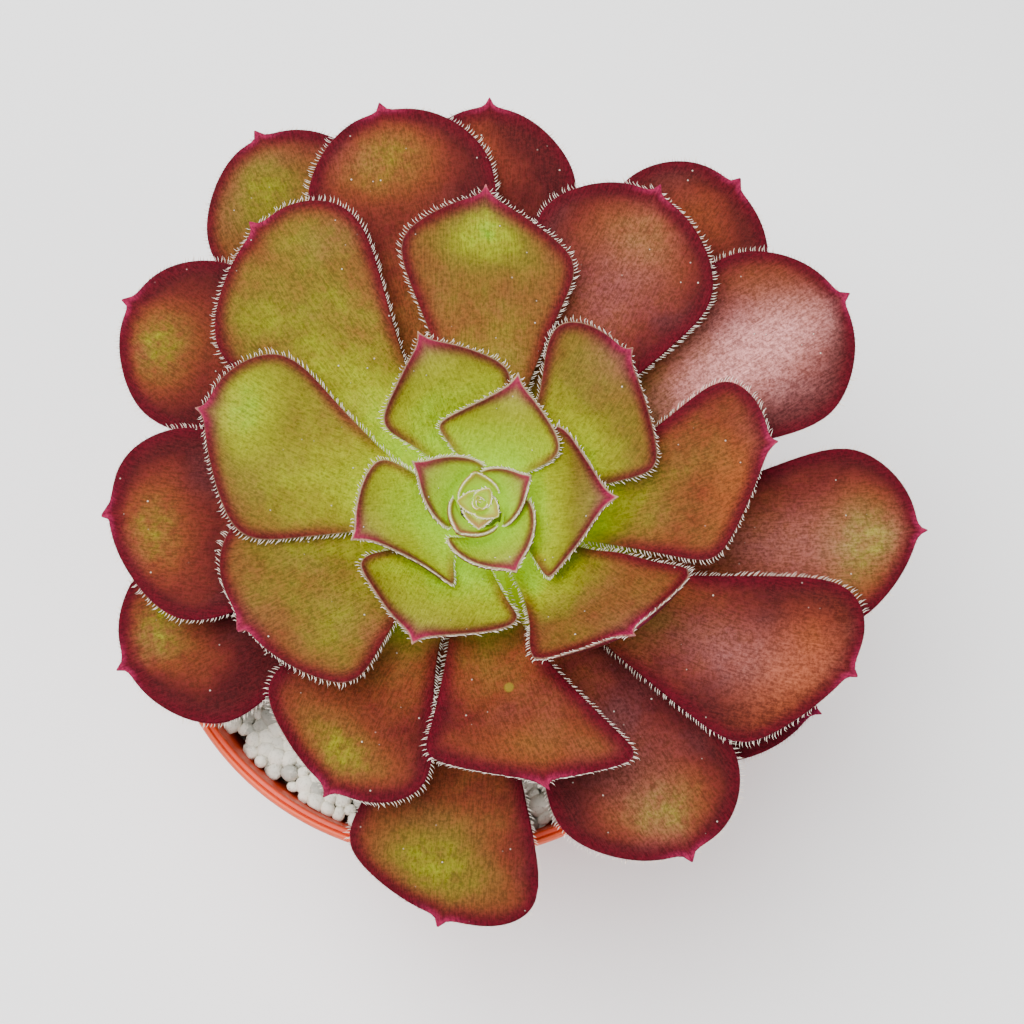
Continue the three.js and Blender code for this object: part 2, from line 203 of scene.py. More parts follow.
# Pumice stones. How far apart their middles are pushed, how far they stay from the wall
# and the stem, and their scatter up and down, in sizes of a stone. Then the rounds of
# pushing, the share of an overlap that each takes up, and the depth of a stone's dents.
# The stem goes through the bed at a drop under the heart
STONE_SPACING, STONE_WALL_GAP, STONE_STEM_GAP, STONE_SCATTER = 0.9, 0.5, 0.45, 0.16
SPREAD_ROUNDS, PUSH = 40, 0.35
STONE_DENT = 0.07
BED_DROP = 35

# One row a leaf, youngest first: azimuth of the tip in degrees, reach of the tip from
# the rosette's axis, rise of the tip over the heart, greatest width and its place as a
# share of the length, roll in degrees, sideways swing of the midrib, lead of the left
# shoulder over the right, and fullness of the end on the right and the left
Leaf = namedtuple("Leaf", "azimuth reach rise width widest roll swing lead right left")
LEAVES = [Leaf(*row) for row in [
    (99, 5.5, 1.5, 8, 0.5, 0, 0, 0, 1.4, 1.4),
    (237, 7, 2, 10.8, 0.55, 0, 0, 0, 1.4, 1.4),
    (24, 9.3, 3, 12, 0.5, 0, 0, 0, 1.3, 1.3),
    (151, 12.2, 3.4, 14.6, 0.5, 0, 0, 0, 1.3, 1.3),
    (296, 13.4, 4.5, 18.4, 0.58, 0, 0, 0, 1.2, 1.2),
    (73, 20.5, 5, 19.5, 0.64, 0, 0, -0.2, 1.3, 1.1),
    (199, 20.8, 5, 22, 0.62, 0, 0, -0.6, 1.3, 0.9),
    (359, 21.5, 7, 24, 0.65, 0, 0, 0.1, 1.1, 1.1),
    (110, 28, 5, 21.5, 0.7, 0, -1, 0, 1.4, 1.3),
    (246, 25, 5, 26, 0.72, 0, 0, -0.1, 1.4, 1.3),
    (44, 34, 4, 25, 0.82, 0, -4, 0.55, 1.6, 2),
    (162, 47.5, 1, 28.5, 0.8, 0, 4, -0.35, 2, 1.5),
    (316.5, 32.5, 12, 24.8, 0.93, -10, 0, 0.33, 1.6, 1.2),
    (89, 52, 1, 27.5, 0.84, 0, -1, 0.2, 1.3, 1.3),
    (208, 43, 0, 31, 0.8, 0, 0, -0.1, 3.4, 1.8),
    (11, 48, 1, 25.5, 0.84, 0, -4.5, 0.6, 1.4, 1.8),
    (129, 61, -2, 30.5, 0.82, 0, 3.5, -0.3, 2.4, 1.9),
    (283, 46, 1, 27.5, 0.93, 0, -4.5, 0.6, 1.6, 1.2),
    (61, 61, -3, 31.5, 0.82, 0, -1.5, 0.05, 2.1, 2.2),
    (181, 62, -8, 31.5, 0.8, 0, 3, -0.05, 3.4, 1.7),
    (335.5, 66, -7, 28.5, 0.87, 0, -6, 0.4, 1.6, 2.6),
    (104, 71.5, -7, 31.5, 0.82, 0, 0, 0, 2.4, 2.2),
    (241.5, 52, -6, 29, 0.84, 0, -3.5, 0.25, 1.7, 2.2),
    (31, 71.5, -9, 32, 0.82, 0, 0, 0, 2.2, 2.4),
    (149, 70.5, -11, 29.5, 0.82, 0, 0, 0, 2.8, 1.9),
    (301, 65.5, -11, 30.5, 0.82, 0, 0, 0.15, 2.2, 2.6),
    (89, 71.5, -10, 30, 0.82, 0, 0, 0, 2.1, 2.1),
    (203, 65, -15, 30.5, 0.82, 0, 0, 0, 2.4, 2),
    (358, 74, -14, 30, 0.84, 0, -4, 0.2, 1.9, 2),
    (120.5, 77.5, -13, 31, 0.82, 0, 3, 0, 2.6, 2),
    (264, 67, -16, 31, 0.9, 0, 0, 0.22, 1.9, 2.6),
    (53, 73.5, -14, 31.5, 0.82, 0, 0, 0.15, 2.6, 2.4),
    (330, 65, -19, 30, 0.82, 0, -2, 0, 1.9, 1.9),
]]

# The leaflets of the heart, in the same terms, oldest first. They are more than the solids
# have
BUDLETS = [Leaf(*row) for row in [
    (268, 4.7, 1.3, 9.6, 0.5, 0, 0, 0, 3.0, 3.0),
    (318, 4.3, 1.8, 7.4, 0.5, 0, 0, 0, 1.8, 1.8),
    (184, 4.0, 1.8, 6.4, 0.5, 0, 0, 0, 1.8, 1.8),
    (47, 3.2, 1.8, 5.2, 0.5, 0, 0, 0, 1.8, 1.8),
    (269, 2.6, 1.7, 4.4, 0.5, 0, 0, 0, 1.8, 1.8),
    (132, 1.9, 1.5, 3.4, 0.5, 0, 0, 0, 1.8, 1.8),
    (354, 1.3, 1.3, 2.6, 0.5, 0, 0, 0, 1.8, 1.8),
]]

# How each leaf is coloured, in the order of the leaves. First how far it has flushed, from
# 0 for lime to 1 for maroon, at its base, its middle and its end, and how much more on its
# left side. Then the sunlit patch behind its tip: its strength, its place across the blade
# and its hue, from 0 for green to 1 for orange. Last the strength of its painted sheen, a
# pale velvet highlight painted into the colour
Flush = namedtuple("Flush", "base middle end side patch place glow bloom")
FLUSHES = [Flush(*row) for row in [
    (0.00, 0.00, 0.05, 0, 0, 0, 0, 0),
    (0.00, 0.00, 0.06, 0, 0, 0, 0, 0),
    (0.00, 0.01, 0.08, 0, 0, 0, 0, 0),
    (0.00, 0.02, 0.10, 0, 0, 0, 0, 0),
    (0.00, 0.02, 0.12, 0, 0, 0, 0, 0),
    (0.00, 0.06, 0.20, 0, 0, 0, 0, 0),
    (0.00, 0.06, 0.20, 0, 0, 0, 0, 0),
    (0.00, 0.10, 0.36, 0.06, 0, 0, 0, 0),
    (0.00, 0.06, 0.22, 0, 0, 0, 0, 0),
    (0.00, 0.06, 0.22, 0, 0, 0, 0, 0),
    (0.00, 0.08, 0.42, 0.02, 0, 0, 0, 0),
    (0.00, 0.24, 0.37, 0.04, 0.5, -0.3, 0, 0),
    (0.00, 0.10, 0.52, 0.10, 0, 0, 0, 0),
    (0.02, 0.42, 0.54, -0.02, 0.8, 0, 0, 0),
    (0.02, 0.27, 0.45, 0.03, 0, 0, 0, 0),
    (0.03, 0.28, 0.64, 0.04, 0.6, -0.3, 0.7, 0),
    (0.02, 0.24, 0.44, 0, 0.1, 0, 0, 0),
    (0.05, 0.50, 0.76, 0, 0.5, 0, 0.2, 0),
    (0.12, 0.70, 0.90, 0, 0.80, -0.1, 0.15, 0.15),
    (0.45, 0.86, 0.97, -0.04, 1.15, 0.15, 0.1, 0),
    (0.05, 0.52, 0.92, -0.03, 0.8, -0.1, 0.95, 0.2),
    (0.08, 0.66, 0.90, -0.05, 1.10, 0.1, 0.15, 0),
    (0.02, 0.46, 0.84, 0.04, 1.15, 0, 0.1, 0),
    (0.15, 0.62, 0.90, -0.12, 0.5, 0.2, 0.3, 1.2),
    (0.70, 0.96, 0.93, 0, 1.25, 0.3, 0.1, 0),
    (0.15, 0.82, 0.97, 0, 1.25, 0, 0.1, 0.15),
    (0.60, 0.95, 0.95, -0.05, 0.6, 0.4, 0.4, 0),
    (0.80, 1.02, 0.98, 0, 1.30, -0.3, 0.05, 0),
    (0.30, 0.66, 0.84, 0, 1.15, -0.1, 0.1, 0.22),
    (0.40, 0.45, 0.66, -0.08, 0.65, 0.2, 0, 0),
    (0.78, 0.74, 0.68, 0.04, 0.8, -0.1, 0.05, 0),
    (0.60, 0.90, 0.96, -0.05, 0.5, 0.1, 0.3, 0),
    (0.80, 0.95, 1.00, 0, 0, 0, 0, 0),
]]

# The whorls of leaves, from the heart: a name, the rank after the last leaf, and a slot
WHORLS = (
    ("inner", 10, "leaf_green"),
    ("middle", 19, "leaf_bronze"),
    ("outer", 33, "leaf_burgundy"),
)

# Leaves whose end is turned down, by rank, and how far
TURNED_DOWN = {14: 2.2, 16: 2.4}

# The dry spot on one leaf: its rank, and its place along and across the blade
SPOTTED_LEAF = 17
SPOT_PLACE = (0.66, 0.1)
SPOT_RADIUS = 1.0

# Camera of the photograph: above the pot and a little in front of it
CAMERA_TARGET = np.array([11.0, 9.5, 92.0])
CAMERA_DISTANCE = 309.2
CAMERA_ELEVATION = math.radians(72)
CAMERA_LENS = 60.0

# Soft studio light from all round, and from round lamps that point at the rosette's foot:
# the name, place, size and power in watts of each
WORLD_STRENGTH = 0.66
LAMPS = (
    ("key", (-150, -20, 720), 460, 9.4),
    ("fill", (420, -300, 560), 380, 2.2),
    ("back", (-250, 420, 420), 320, 1.5),
)
LAMP_TARGET = np.array([0, 0, 100.0])
FLOOR_REACH = 3000.0


def colour_property(name, description, default):
    """A colour that the user can change."""
    return FloatVectorProperty(
        name=name, description=description, subtype="COLOR", size=3, min=0, max=1, default=default)


def length_property(name, description, default):
    """A length in metres that the user can change."""
    return FloatProperty(name=name, description=description, unit="LENGTH", min=0, default=default)


class AeoniumLeafSettings(bpy.types.PropertyGroup):
    """Sizes and colours of the leaves"""

    margin_wave: length_property("Margin wave", "Height of the waves along a margin", 0.00028)
    channel: length_property("Channel", "Depth of the channel over the midrib", 0.00035)
    hair_length: length_property("Hair length", "Length of the hairs along the margins", 0.00125)
    hair_spacing: length_property("Hair spacing", "Distance between two hairs", 0.00052)
    hair_radius: length_property("Hair radius", "Radius of a hair at its root", 0.000075)
    lime: colour_property("Lime", "Young tissue of the heart", (0.27, 0.54, 0.003))
    chartreuse: colour_property("Chartreuse", "Leaf that begins to flush", (0.31, 0.35, 0.006))
    olive: colour_property("Olive", "Leaf a third flushed", (0.21, 0.165, 0.013))
    bronze: colour_property("Bronze", "Leaf half flushed", (0.21, 0.092, 0.017))
    russet: colour_property("Russet", "Leaf mostly flushed", (0.20, 0.045, 0.014))
    burgundy: colour_property("Burgundy", "Leaf fully flushed", (0.155, 0.019, 0.013))
    maroon: colour_property("Maroon", "Deepest flush", (0.085, 0.007, 0.009))
    blush: colour_property("Blush", "Band along the margins of young leaves", (0.17, 0.010, 0.036))
    ember: colour_property("Ember", "Orange patch behind the tip", (0.46, 0.10, 0.02))
    crimson: colour_property("Crimson", "Band along the margins", (0.115, 0.0015, 0.010))
    rose: colour_property("Rose", "Edge of the blade, and its point", (0.45, 0.022, 0.10))
    # Painted sheen: the velvet's pale highlight, painted into the leaf's colour
    bloom: colour_property("Bloom", "Pale velvet sheen", (0.85, 0.36, 0.33))
    cream: colour_property("Cream", "Edge of young leaves", (0.80, 0.80, 0.42))
    hair: colour_property("Hair", "Hairs along the margins", (0.92, 0.80, 0.68))


class AeoniumPotSettings(bpy.types.PropertyGroup):
    """Sizes and colours of the pot and what fills it"""

    stone_size: length_property("Stone size", "Middle size of the pumice stones", 0.0026)
    stone_count: IntProperty(
        name="Stones", description="Stones in the top layer of pumice", min=1, default=1550)
    terracotta: colour_property("Terracotta", "Plastic of the pot", (0.52, 0.028, 0.003))
    pumice: colour_property("Pumice", "Stones of the dressing", (0.82, 0.78, 0.66))
    soil: colour_property("Potting mix", "Mix under the pumice", (0.035, 0.022, 0.014))
    bark: colour_property("Bark", "Woody stem", (0.10, 0.065, 0.038))


class Value:
    """A socket that sums, products and powers work on, each adding its Math node."""

    def __init__(self, finish, socket):
        self.finish = finish
        self.socket = socket

    def math(self, operation, first, second):
        return self.finish.node("ShaderNodeMath", {"operation": operation}, {0: first, 1: second})

    def __add__(self, other):
        return self.math("ADD", self, other)

    def __sub__(self, other):
        return self.math("SUBTRACT", self, other)

    def __rsub__(self, other):
        return self.math("SUBTRACT", other, self)

    def __mul__(self, other):
        return self.math("MULTIPLY", self, other)

    __radd__ = __add__
    __rmul__ = __mul__


class Finish:
    """A procedural material in the making, around one Principled shader."""

    def __init__(self, name):
        self.material = bpy.data.materials.new(name)
        self.material.use_nodes = True
        self.tree = self.material.node_tree
        self.tree.nodes.clear()
        self.shader = self.tree.nodes.new("ShaderNodeBsdfPrincipled")
        output = self.tree.nodes.new("ShaderNodeOutputMaterial")
        self.tree.links.new(self.shader.outputs["BSDF"], output.inputs["Surface"])

    def node(self, kind, settings, inputs, output=0):
        """A node of that kind: its settings first, then the values or links of its inputs.
        A ramp's stops are pairs of a place and a colour."""
        made = self.tree.nodes.new(kind)
        for key, value in settings.items():
            if key == "stops":
                for index, (place, colour) in enumerate(value):
                    elements = made.color_ramp.elements
                    stop = elements[index] if index < 2 else elements.new(place)
                    stop.position = place
                    stop.color = (*colour, 1.0)
            else:
                setattr(made, key, value)
        for key, value in inputs.items():
            self.connect(made.inputs[key], value)
        return Value(self, made.outputs[output])

    def connect(self, socket, value):
        """Links a shader value to a socket, or sets the socket, a colour with its alpha."""
        if isinstance(value, Value):
            self.tree.links.new(value.socket, socket)
        elif socket.type == "RGBA":
            socket.default_value = (*value, 1.0)
        else:
            socket.default_value = value

    def set(self, **inputs):
        """Sets the shader's own inputs, named with underscores for spaces."""
        for key, value in inputs.items():
            self.connect(self.shader.inputs[key.replace("_", " ")], value)

    def attribute(self, name):
        return self.node("ShaderNodeAttribute", {"attribute_name": name}, {}, "Fac")

    def attributes(self, *names):
        return [self.attribute(name) for name in names]

    def position(self):
        return self.node("ShaderNodeTexCoord", {}, {}, "Object")

    def leaf_position(self):
        return self.node("ShaderNodeUVMap", {"uv_map": "leaf"}, {})

    def height(self):
        return self.node("ShaderNodeSeparateXYZ", {}, {0: self.position()}, "Z")

    def stretch(self, vector, x, y, z):
        return self.node(
            "ShaderNodeVectorMath", {"operation": "MULTIPLY"}, {0: vector, 1: (x, y, z)})

    def distance(self, vector, point):
        """The distance in metres to a point given in millimetres."""
        return self.node(
            "ShaderNodeVectorMath", {"operation": "DISTANCE"},
            {0: vector, 1: tuple(np.asarray(point) * MM)}, "Value")

    def noise(self, vector, scale, detail=2.0, roughness=0.5):
        """Noise about 0, at a scale in waves a metre, or at a scale along each axis."""
        if isinstance(scale, tuple):
            vector, scale = self.stretch(vector, *scale), 1.0
        return self.node(
            "ShaderNodeTexNoise", {"noise_dimensions": "3D"},
            {"Vector": vector, "Scale": scale, "Detail": detail, "Roughness": roughness}) - 0.5

    def cells(self, vector, scale, output="Distance"):
        return self.node(
            "ShaderNodeTexVoronoi", {"feature": "F1"}, {"Vector": vector, "Scale": scale}, output)

    def ease(self, value, low, high):
        """0 up to the low value and 1 from the high one, or the other way if low is higher."""
        return self.node(
            "ShaderNodeMapRange", {"interpolation_type": "SMOOTHSTEP"},
            {"Value": value, "From Min": low, "From Max": high, "To Min": 0.0, "To Max": 1.0})

    def scale(self, value, stops):
        """The colour at a value between stops, each a place and a colour."""
        return self.node("ShaderNodeValToRGB", {"stops": stops}, {"Fac": value})

    def mix(self, share, first, second, blend="MIX"):
        """From the first colour to the second by the share."""
        return self.node(
            "ShaderNodeMix", {"data_type": "RGBA", "blend_type": blend, "clamp_factor": True},
            {0: share, 6: first, 7: second}, 2)

    def bump(self, height, distance, strength):
        normal = self.node(
            "ShaderNodeBump", {}, {"Height": height, "Distance": distance, "Strength": strength})
        self.set(Normal=normal)


def unit(vectors):
    """Each vector divided by its own length."""
    return vectors / np.maximum(np.linalg.norm(vectors, axis=-1, keepdims=True), 1e-12)


def lerp(low, high, share):
    """The value a share of the way from low to high."""
    return low + (high - low) * share


def bell(value, middle, width):
    """A share that falls from 1 at the middle as e to the minus square of the distance."""
    return np.exp(-((value - middle) / width) ** 2)


def smoothstep(value, low, high):
    """A share that eases from 0 at low to 1 at high, as 3 t squared less 2 t cubed."""
    share = np.clip((value - low) / (high - low), 0, 1)
    return share * share * (3 - 2 * share)


def turned_about(vectors, axis, angle):
    """Vectors turned about a unit axis, each by its own angle: the vector times the cosine,
    the axis cross the vector times the sine, and the rest of the part along the axis."""
    cosine, sine = np.cos(angle)[..., None], np.sin(angle)[..., None]
    along = (vectors @ axis)[..., None] * axis
    return vectors * cosine + np.cross(axis, vectors) * sine + along * (1 - cosine)


# A closed surface in millimetres: its points, its quads and triangles, and numbers or
# pairs of numbers on its points, by name
Skin = namedtuple("Skin", "points quads triangles values", defaults=(np.zeros((0, 3), int), {}))


def grid_faces(rows, columns, closed):
    """Quads between neighbours of a grid, whose columns join up into a loop if closed."""
    across = columns if closed else columns - 1
    i, j = np.meshgrid(np.arange(rows - 1), np.arange(across), indexing="ij")
    after = (j + 1) % columns
    quads = [i * columns + j, i * columns + after, (i + 1) * columns + after, (i + 1) * columns + j]
    return np.stack(quads, axis=-1).reshape(-1, 4)


def tube(rings):
    """A closed skin over a stack of rings (rows x columns x 3), each end closed by a fan
    about the middle of its ring."""
    rows, columns = rings.shape[:2]
    points = np.concatenate([rings.reshape(-1, 3), rings[:1].mean(axis=1), rings[-1:].mean(axis=1)])
    first = np.arange(columns)
    after = (first + 1) % columns
    last = (rows - 1) * columns
    start = np.stack([np.full(columns, rows * columns), after, first], axis=-1)
    end = np.stack([np.full(columns, rows * columns + 1), last + first, last + after], axis=-1)
    return Skin(points, grid_faces(rows, columns, True), np.concatenate([start, end]))


def volume(skin):
    """A sixth of the sum over the triangles of their corners' triple products."""
    split = np.concatenate([skin.quads[:, [0, 1, 2]], skin.quads[:, [0, 2, 3]], skin.triangles])
    a, b, c = skin.points[split].transpose(1, 0, 2)
    return np.einsum("ij,ij->", a, np.cross(b, c)) / 6


def mesh_piece(name, *skins):
    """An object at the origin from skins that each get turned to face outward. Numbers on
    their points become attributes, and pairs of numbers UV maps."""
    points, faces = np.zeros((0, 3)), []
    for skin in skins:
        step = -1 if volume(skin) < 0 else 1
        for part in (skin.quads, skin.triangles):
            faces += (part[:, ::step] + len(points)).tolist()
        points = np.concatenate([points, skin.points])
    mesh = bpy.data.meshes.new(name)
    mesh.from_pydata((points * MM).tolist(), [], faces)
    mesh.polygons.foreach_set("use_smooth", np.ones(len(mesh.polygons), bool))
    corners = np.zeros(len(mesh.loops), np.int32)
    mesh.loops.foreach_get("vertex_index", corners)
    for key in skins[0].values:
        values = np.concatenate([skin.values[key] for skin in skins]).astype(np.float32)
        if values.ndim == 2:
            mesh.uv_layers.new(name=key).data.foreach_set("uv", values[corners].ravel())
        else:
            mesh.attributes.new(key, "FLOAT", "POINT").data.foreach_set("value", values)
    mesh.update()
    piece = bpy.data.objects.new(name, mesh)
    bpy.context.scene.collection.objects.link(piece)
    return piece


def place_piece(piece, material, slot, *nodes):
    """Gives the piece its material, and lets it ride for the nodes it stands for. The slot is not
    used.
    """
    piece.data.materials.append(material)
    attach(piece, "root")
    if nodes:
        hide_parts(*nodes)


def half_width(along, width, widest, fullness):
    """Half the leaf's width on one side. A wedge that flares from the base as a power of
    the length is blended, by a power mean, with an end that closes at the tip."""
    wedge = BASE_SHARE + (1 - BASE_SHARE) * (along / widest) ** WEDGE_POWER
    end = (np.maximum(1 - along, 1e-6) / (1 - widest)) ** (1 / fullness)
    n = SHOULDER_SHARPNESS
    return np.maximum(width / 2 * ((wedge ** -n + end ** -n) / 2) ** (-1 / n), MUCRO_POINT)


def leaf_pitch(rank):
    """The angle of the midrib over the rosette's plane at its seat, fading with rank."""
    return math.radians(lerp(OUTER_PITCH, INNER_PITCH, math.exp(-rank / PITCH_FADE)))


def leaf_cup(rank):
    """The height of the margins over the midrib as a share of the half width."""
    return lerp(OUTER_CUP, INNER_CUP, math.exp(-rank / CUP_FADE))


def stem_radius_at(drop):
    """The stem's radius at a distance below the heart, thickening as the power 0.8."""
    return lerp(STEM_TIP_RADIUS, STEM_RADIUS, np.minimum(1, (drop / STEM_TAPER) ** 0.8))


class LeafShape:
    """One leaf as a bent blade: its midrib is a quadratic curve from the seat to the tip,
    and it has a width to each side, a cup and a thickness at each place along it."""

    def __init__(self, leaf, rank, drop, seat, thick, settings):
        self.leaf, self.rank, self.thick, self.settings = leaf, rank, thick, settings
        angle = math.radians(leaf.azimuth)
        outward = math.cos(angle) * ACROSS_X + math.sin(angle) * ACROSS_Y
        sideways = np.cross(UP, outward)
        pitch = leaf_pitch(rank)
        self.start = HEART - drop * UP + seat * outward
        self.tip = HEART + leaf.rise * UP + (leaf.reach - MUCRO_INSET * MUCRO_LENGTH) * outward
        lever = LEVER_SHARE * np.linalg.norm(self.start - self.tip)
        self.middle = (self.start + lever * (math.cos(pitch) * outward + math.sin(pitch) * UP)
                       + SWING_GAIN * leaf.swing * sideways)
        self.length = np.linalg.norm(self.tip - self.start)

    def places(self, rows):
        """Places along the leaf, closer together toward the tip, as a sine of the share."""
        below = np.linspace(0, self.leaf.widest, rows // 2, endpoint=False)
        share = np.sin(np.linspace(0, math.pi / 2, rows - rows // 2))
        return np.concatenate([below, lerp(self.leaf.widest, 1, share)])

    def halves(self, along):
        """The blade's half width on the right and on the left."""
        leaf = self.leaf
        return (half_width(along, leaf.width, leaf.widest, leaf.right),
                half_width(along, leaf.width, leaf.widest, leaf.left))

    def point(self, along, across, level):
        """Points of the blade. Across runs from -1 at the right margin to 1 at the left.
        Level is 1 on the upper skin and -1 on the lower one. Both skins close round the
        margin as a half ellipse. The blade follows the midrib, and its sides rise by the
        cup as the square of across, or wrap round the rosette's axis on the youngest."""
        leaf = self.leaf
        right, left = self.halves(along)
        half = (right + left) / 2
        v = along[..., None]
        tangent = unit((1 - v) * (self.middle - self.start) + v * (self.tip - self.middle))
        flat = unit(np.cross(UP, tangent))
        turn = np.radians(leaf.roll) * v
        side = flat * np.cos(turn) + np.cross(tangent, flat) * np.sin(turn)
        normal = np.cross(tangent, side)
        centre = (1 - v) ** 2 * self.start + 2 * v * (1 - v) * self.middle + v * v * self.tip
        centre = centre + tangent * (MUCRO_LENGTH * np.exp(-half / MUCRO_SPREAD))[..., None]
        reach = np.where(across < 0, right, left)
        offset = across * reach
        edge = MARGIN_THICKNESS * np.minimum(1, half / THIN_HALF_WIDTH)
        rib = lerp(edge, self.thick, np.minimum(1, half / (RIB_SHARE * leaf.width)))
        thickness = lerp(edge, rib, (1 - across ** 2) ** SECTION_POWER)
        inward = np.minimum(1, reach * (1 - np.abs(across)) / (edge / 2))
        rounding = np.sqrt(1 - (1 - inward) ** 2)
        height = MARGIN_THICKNESS / 2 + (level * rounding - 1) * thickness / 2
        if self.rank < WRAPPED_LEAVES:
            from_axis = centre - HEART
            from_axis = from_axis - (from_axis @ UP)[..., None] * UP
            radius = np.linalg.norm(from_axis, axis=-1)
            wrap = np.clip(offset / radius, -WIDEST_WRAP, WIDEST_WRAP)
            place = turned_about(centre - HEART, UP, wrap) + HEART
            return place + turned_about(normal, UP, wrap) * height[..., None]
        height = height + leaf_cup(self.rank) * half * across ** 2
        height = height + self.relief(along, across, half, level)
        return (centre + side * offset[..., None]
                + tangent * (leaf.lead * offset * along ** 2)[..., None]
                + normal * height[..., None])

    def relief(self, along, across, half, level):
        """What age adds to the smooth blade: sines along the margins that grow as the
        square of across, a channel of the shape of a bell curve over the midrib, and on
        some leaves an end that eases down."""
        settings = self.settings
        grown = min(1, self.rank / FULL_RELIEF_RANK) * smoothstep(half, 1.5, 6.0)
        phase = LEAF_PHASE * self.rank + np.where(across < 0, 0, SIDE_PHASE)
        short = SHORT_WAVE_SHARE * np.sin(SHORT_WAVE * along + 2 * phase)
        wave = np.sin(LONG_WAVE * along + phase) + short
        wave = wave * across ** 2 * settings.margin_wave / MM
        channel = settings.channel / MM * bell(across * half, 0, CHANNEL_WIDTH)
        channel = channel * (level > 0) * smoothstep(along, 0.95, 0.6)
        down = TURNED_DOWN.get(self.rank, 0) * smoothstep(along, 0.86, 1.03)
        return grown * (wave - channel) - down

    def margins(self, rows):
        """The two margins from base to tip, with a direction out of the blade at each
        point and the blade's normal: a list of (points, outward, normal)."""
        along = self.places(rows)
        found = []
        for side in (-1.0, 1.0):
            edge = self.point(along, np.full(rows, side), 0.0)
            inside = self.point(along, np.full(rows, side * 0.9), 0.0)
            over = self.point(along, np.full(rows, side * 0.9), 1.0)
            found.append((edge, unit(edge - inside), unit(over - inside)))
        return found


def rosette_shape(rank, settings):
    """The leaf of that rank, seated a gap clear of the stem as in the solids."""
    leaf = LEAVES[rank]
    drop = BUD_DROP + LEAF_SPACING * rank
    thick = LEAF_THICKNESS * min(1, YOUNG_THICKNESS + rank / THICKENING_RANKS)
    edge_height = MARGIN_THICKNESS / 2 + leaf_cup(rank) * BASE_SHARE * leaf.width / 2
    clearance = GAP + edge_height * math.sin(leaf_pitch(rank)) + CORNER_SHARE * abs(leaf.swing)
    return LeafShape(leaf, rank, drop, stem_radius_at(drop) + clearance, thick, settings)


def budlet_shape(index, settings):
    """A leaflet of the heart."""
    return LeafShape(BUDLETS[index], 0, BUDLET_DROP, BUDLET_SEAT, BUDLET_THICKNESS, settings)


def distance_inward(points, shape):
    """The distance of each point to the nearest point of the leaf's two margins."""
    edge = np.concatenate([margin[0] for margin in shape.margins(INWARD_ROWS)])
    squares = (points ** 2).sum(axis=1)[:, None] - 2 * points @ edge.T + (edge ** 2).sum(axis=1)
    return np.sqrt(np.maximum(squares.min(axis=1), 0))


def blade_skin(shape, flush, rows, columns):
    """A leaf as one closed skin with what its finish reads on each point. The columns run
    round a section from the left margin: across is the cosine of the angle, and level is 1
    over it and -1 under it."""
    angle = 2 * math.pi * np.arange(columns) / columns
    v, u = np.meshgrid(shape.places(rows), np.cos(angle), indexing="ij")
    level = np.where(np.sin(angle) >= 0, 1.0, -1.0)
    skin = tube(shape.point(v, u, level[None, :]))
    u, v = np.append(u, [0, 0]), np.append(v, [0, 1])
    under = np.append(np.tile(level < 0, rows), [False, False])
    inward = distance_inward(skin.points, shape)
    to_tip = np.linalg.norm(skin.points - shape.point(np.ones(1), np.zeros(1), 1.0), axis=1)
    age = min(1.0, shape.rank / RIPE_RANK)
    red = np.interp(v, FLUSH_PLACES, [flush.base, flush.middle, flush.end]) + flush.side * u
    margin = np.exp(-inward / MARGIN_FLUSH_WIDTH) * smoothstep(v, 0.25, 0.6)
    red = red + MARGIN_FLUSH * age * margin + UNDERSIDE_FLUSH * under
    patch = bell(v, PATCH_PLACE, PATCH_LENGTH) * bell(u, flush.place, PATCH_WIDTH)
    # Where the painted sheen, a pale velvet highlight, lies on the blade
    bloom = bell(v, PAINTED_SHEEN_PLACE, PAINTED_SHEEN_LENGTH) * bell(u, PAINTED_SHEEN_SIDE, PAINTED_SHEEN_WIDTH)
    # Painted glow: the bases deep in the rosette and the youngest leaves, where shade lies, get
    # light painted in as emission, on green tissue only
    painted_glow = np.maximum(smoothstep(v, 0.62, 0.2), math.exp(-shape.rank / 3))
    half = sum(shape.halves(v)) / 2
    return skin._replace(values={
        "along": v,
        "inward": inward * max(1, WIDE_BAND_LEAF / shape.leaf.width),
        "banded": np.full(len(v), min(1, shape.leaf.width / DARK_BAND_LEAF) ** 2),
        "age": np.full(len(v), age),
        "flush": red,
        "patch": flush.patch * patch * ~under,
        "glow": np.full(len(v), flush.glow),
        "bloom": flush.bloom * bloom * ~under,
        "apex": bell(to_tip, 0, APEX_WIDTH),
        "painted_glow": painted_glow * np.clip(1 - 1.6 * red, 0, 1),
        "leaf": np.stack([u * half / 10 + 3 * shape.rank, v * shape.length / 10], axis=-1),
    })


def dome_skin():
    """The dome of the heart, a small sphere round the rosette's axis, lime all over."""
    polar = np.linspace(0.06, math.pi - 0.06, 18)[:, None, None]
    angle = (2 * math.pi * np.arange(32) / 32)[None, :, None]
    ring = np.sin(polar) * (np.cos(angle) * ACROSS_X + np.sin(angle) * ACROSS_Y)
    middle = HEART + UP * (BUD_RADIUS - BUD_DROP + BUD_LIFT)
    skin = tube(middle + BUD_RADIUS * (ring + np.cos(polar) * UP))
    count = len(skin.points)
    names = ("along", "age", "flush", "patch", "glow", "bloom", "apex", "painted_glow", "banded")
    # The dome glows fully: light painted into the deep heart
    values = {name: np.full(count, float(name == "painted_glow")) for name in names}
    values.update(inward=np.full(count, 9.0), leaf=skin.points[:, :2])
    return skin._replace(values=values)


# Noise on a leaf, each kind finer than the one before, and streaks along the blade
LeafNoise = namedtuple("LeafNoise", "haze cloud mottle grain streak")


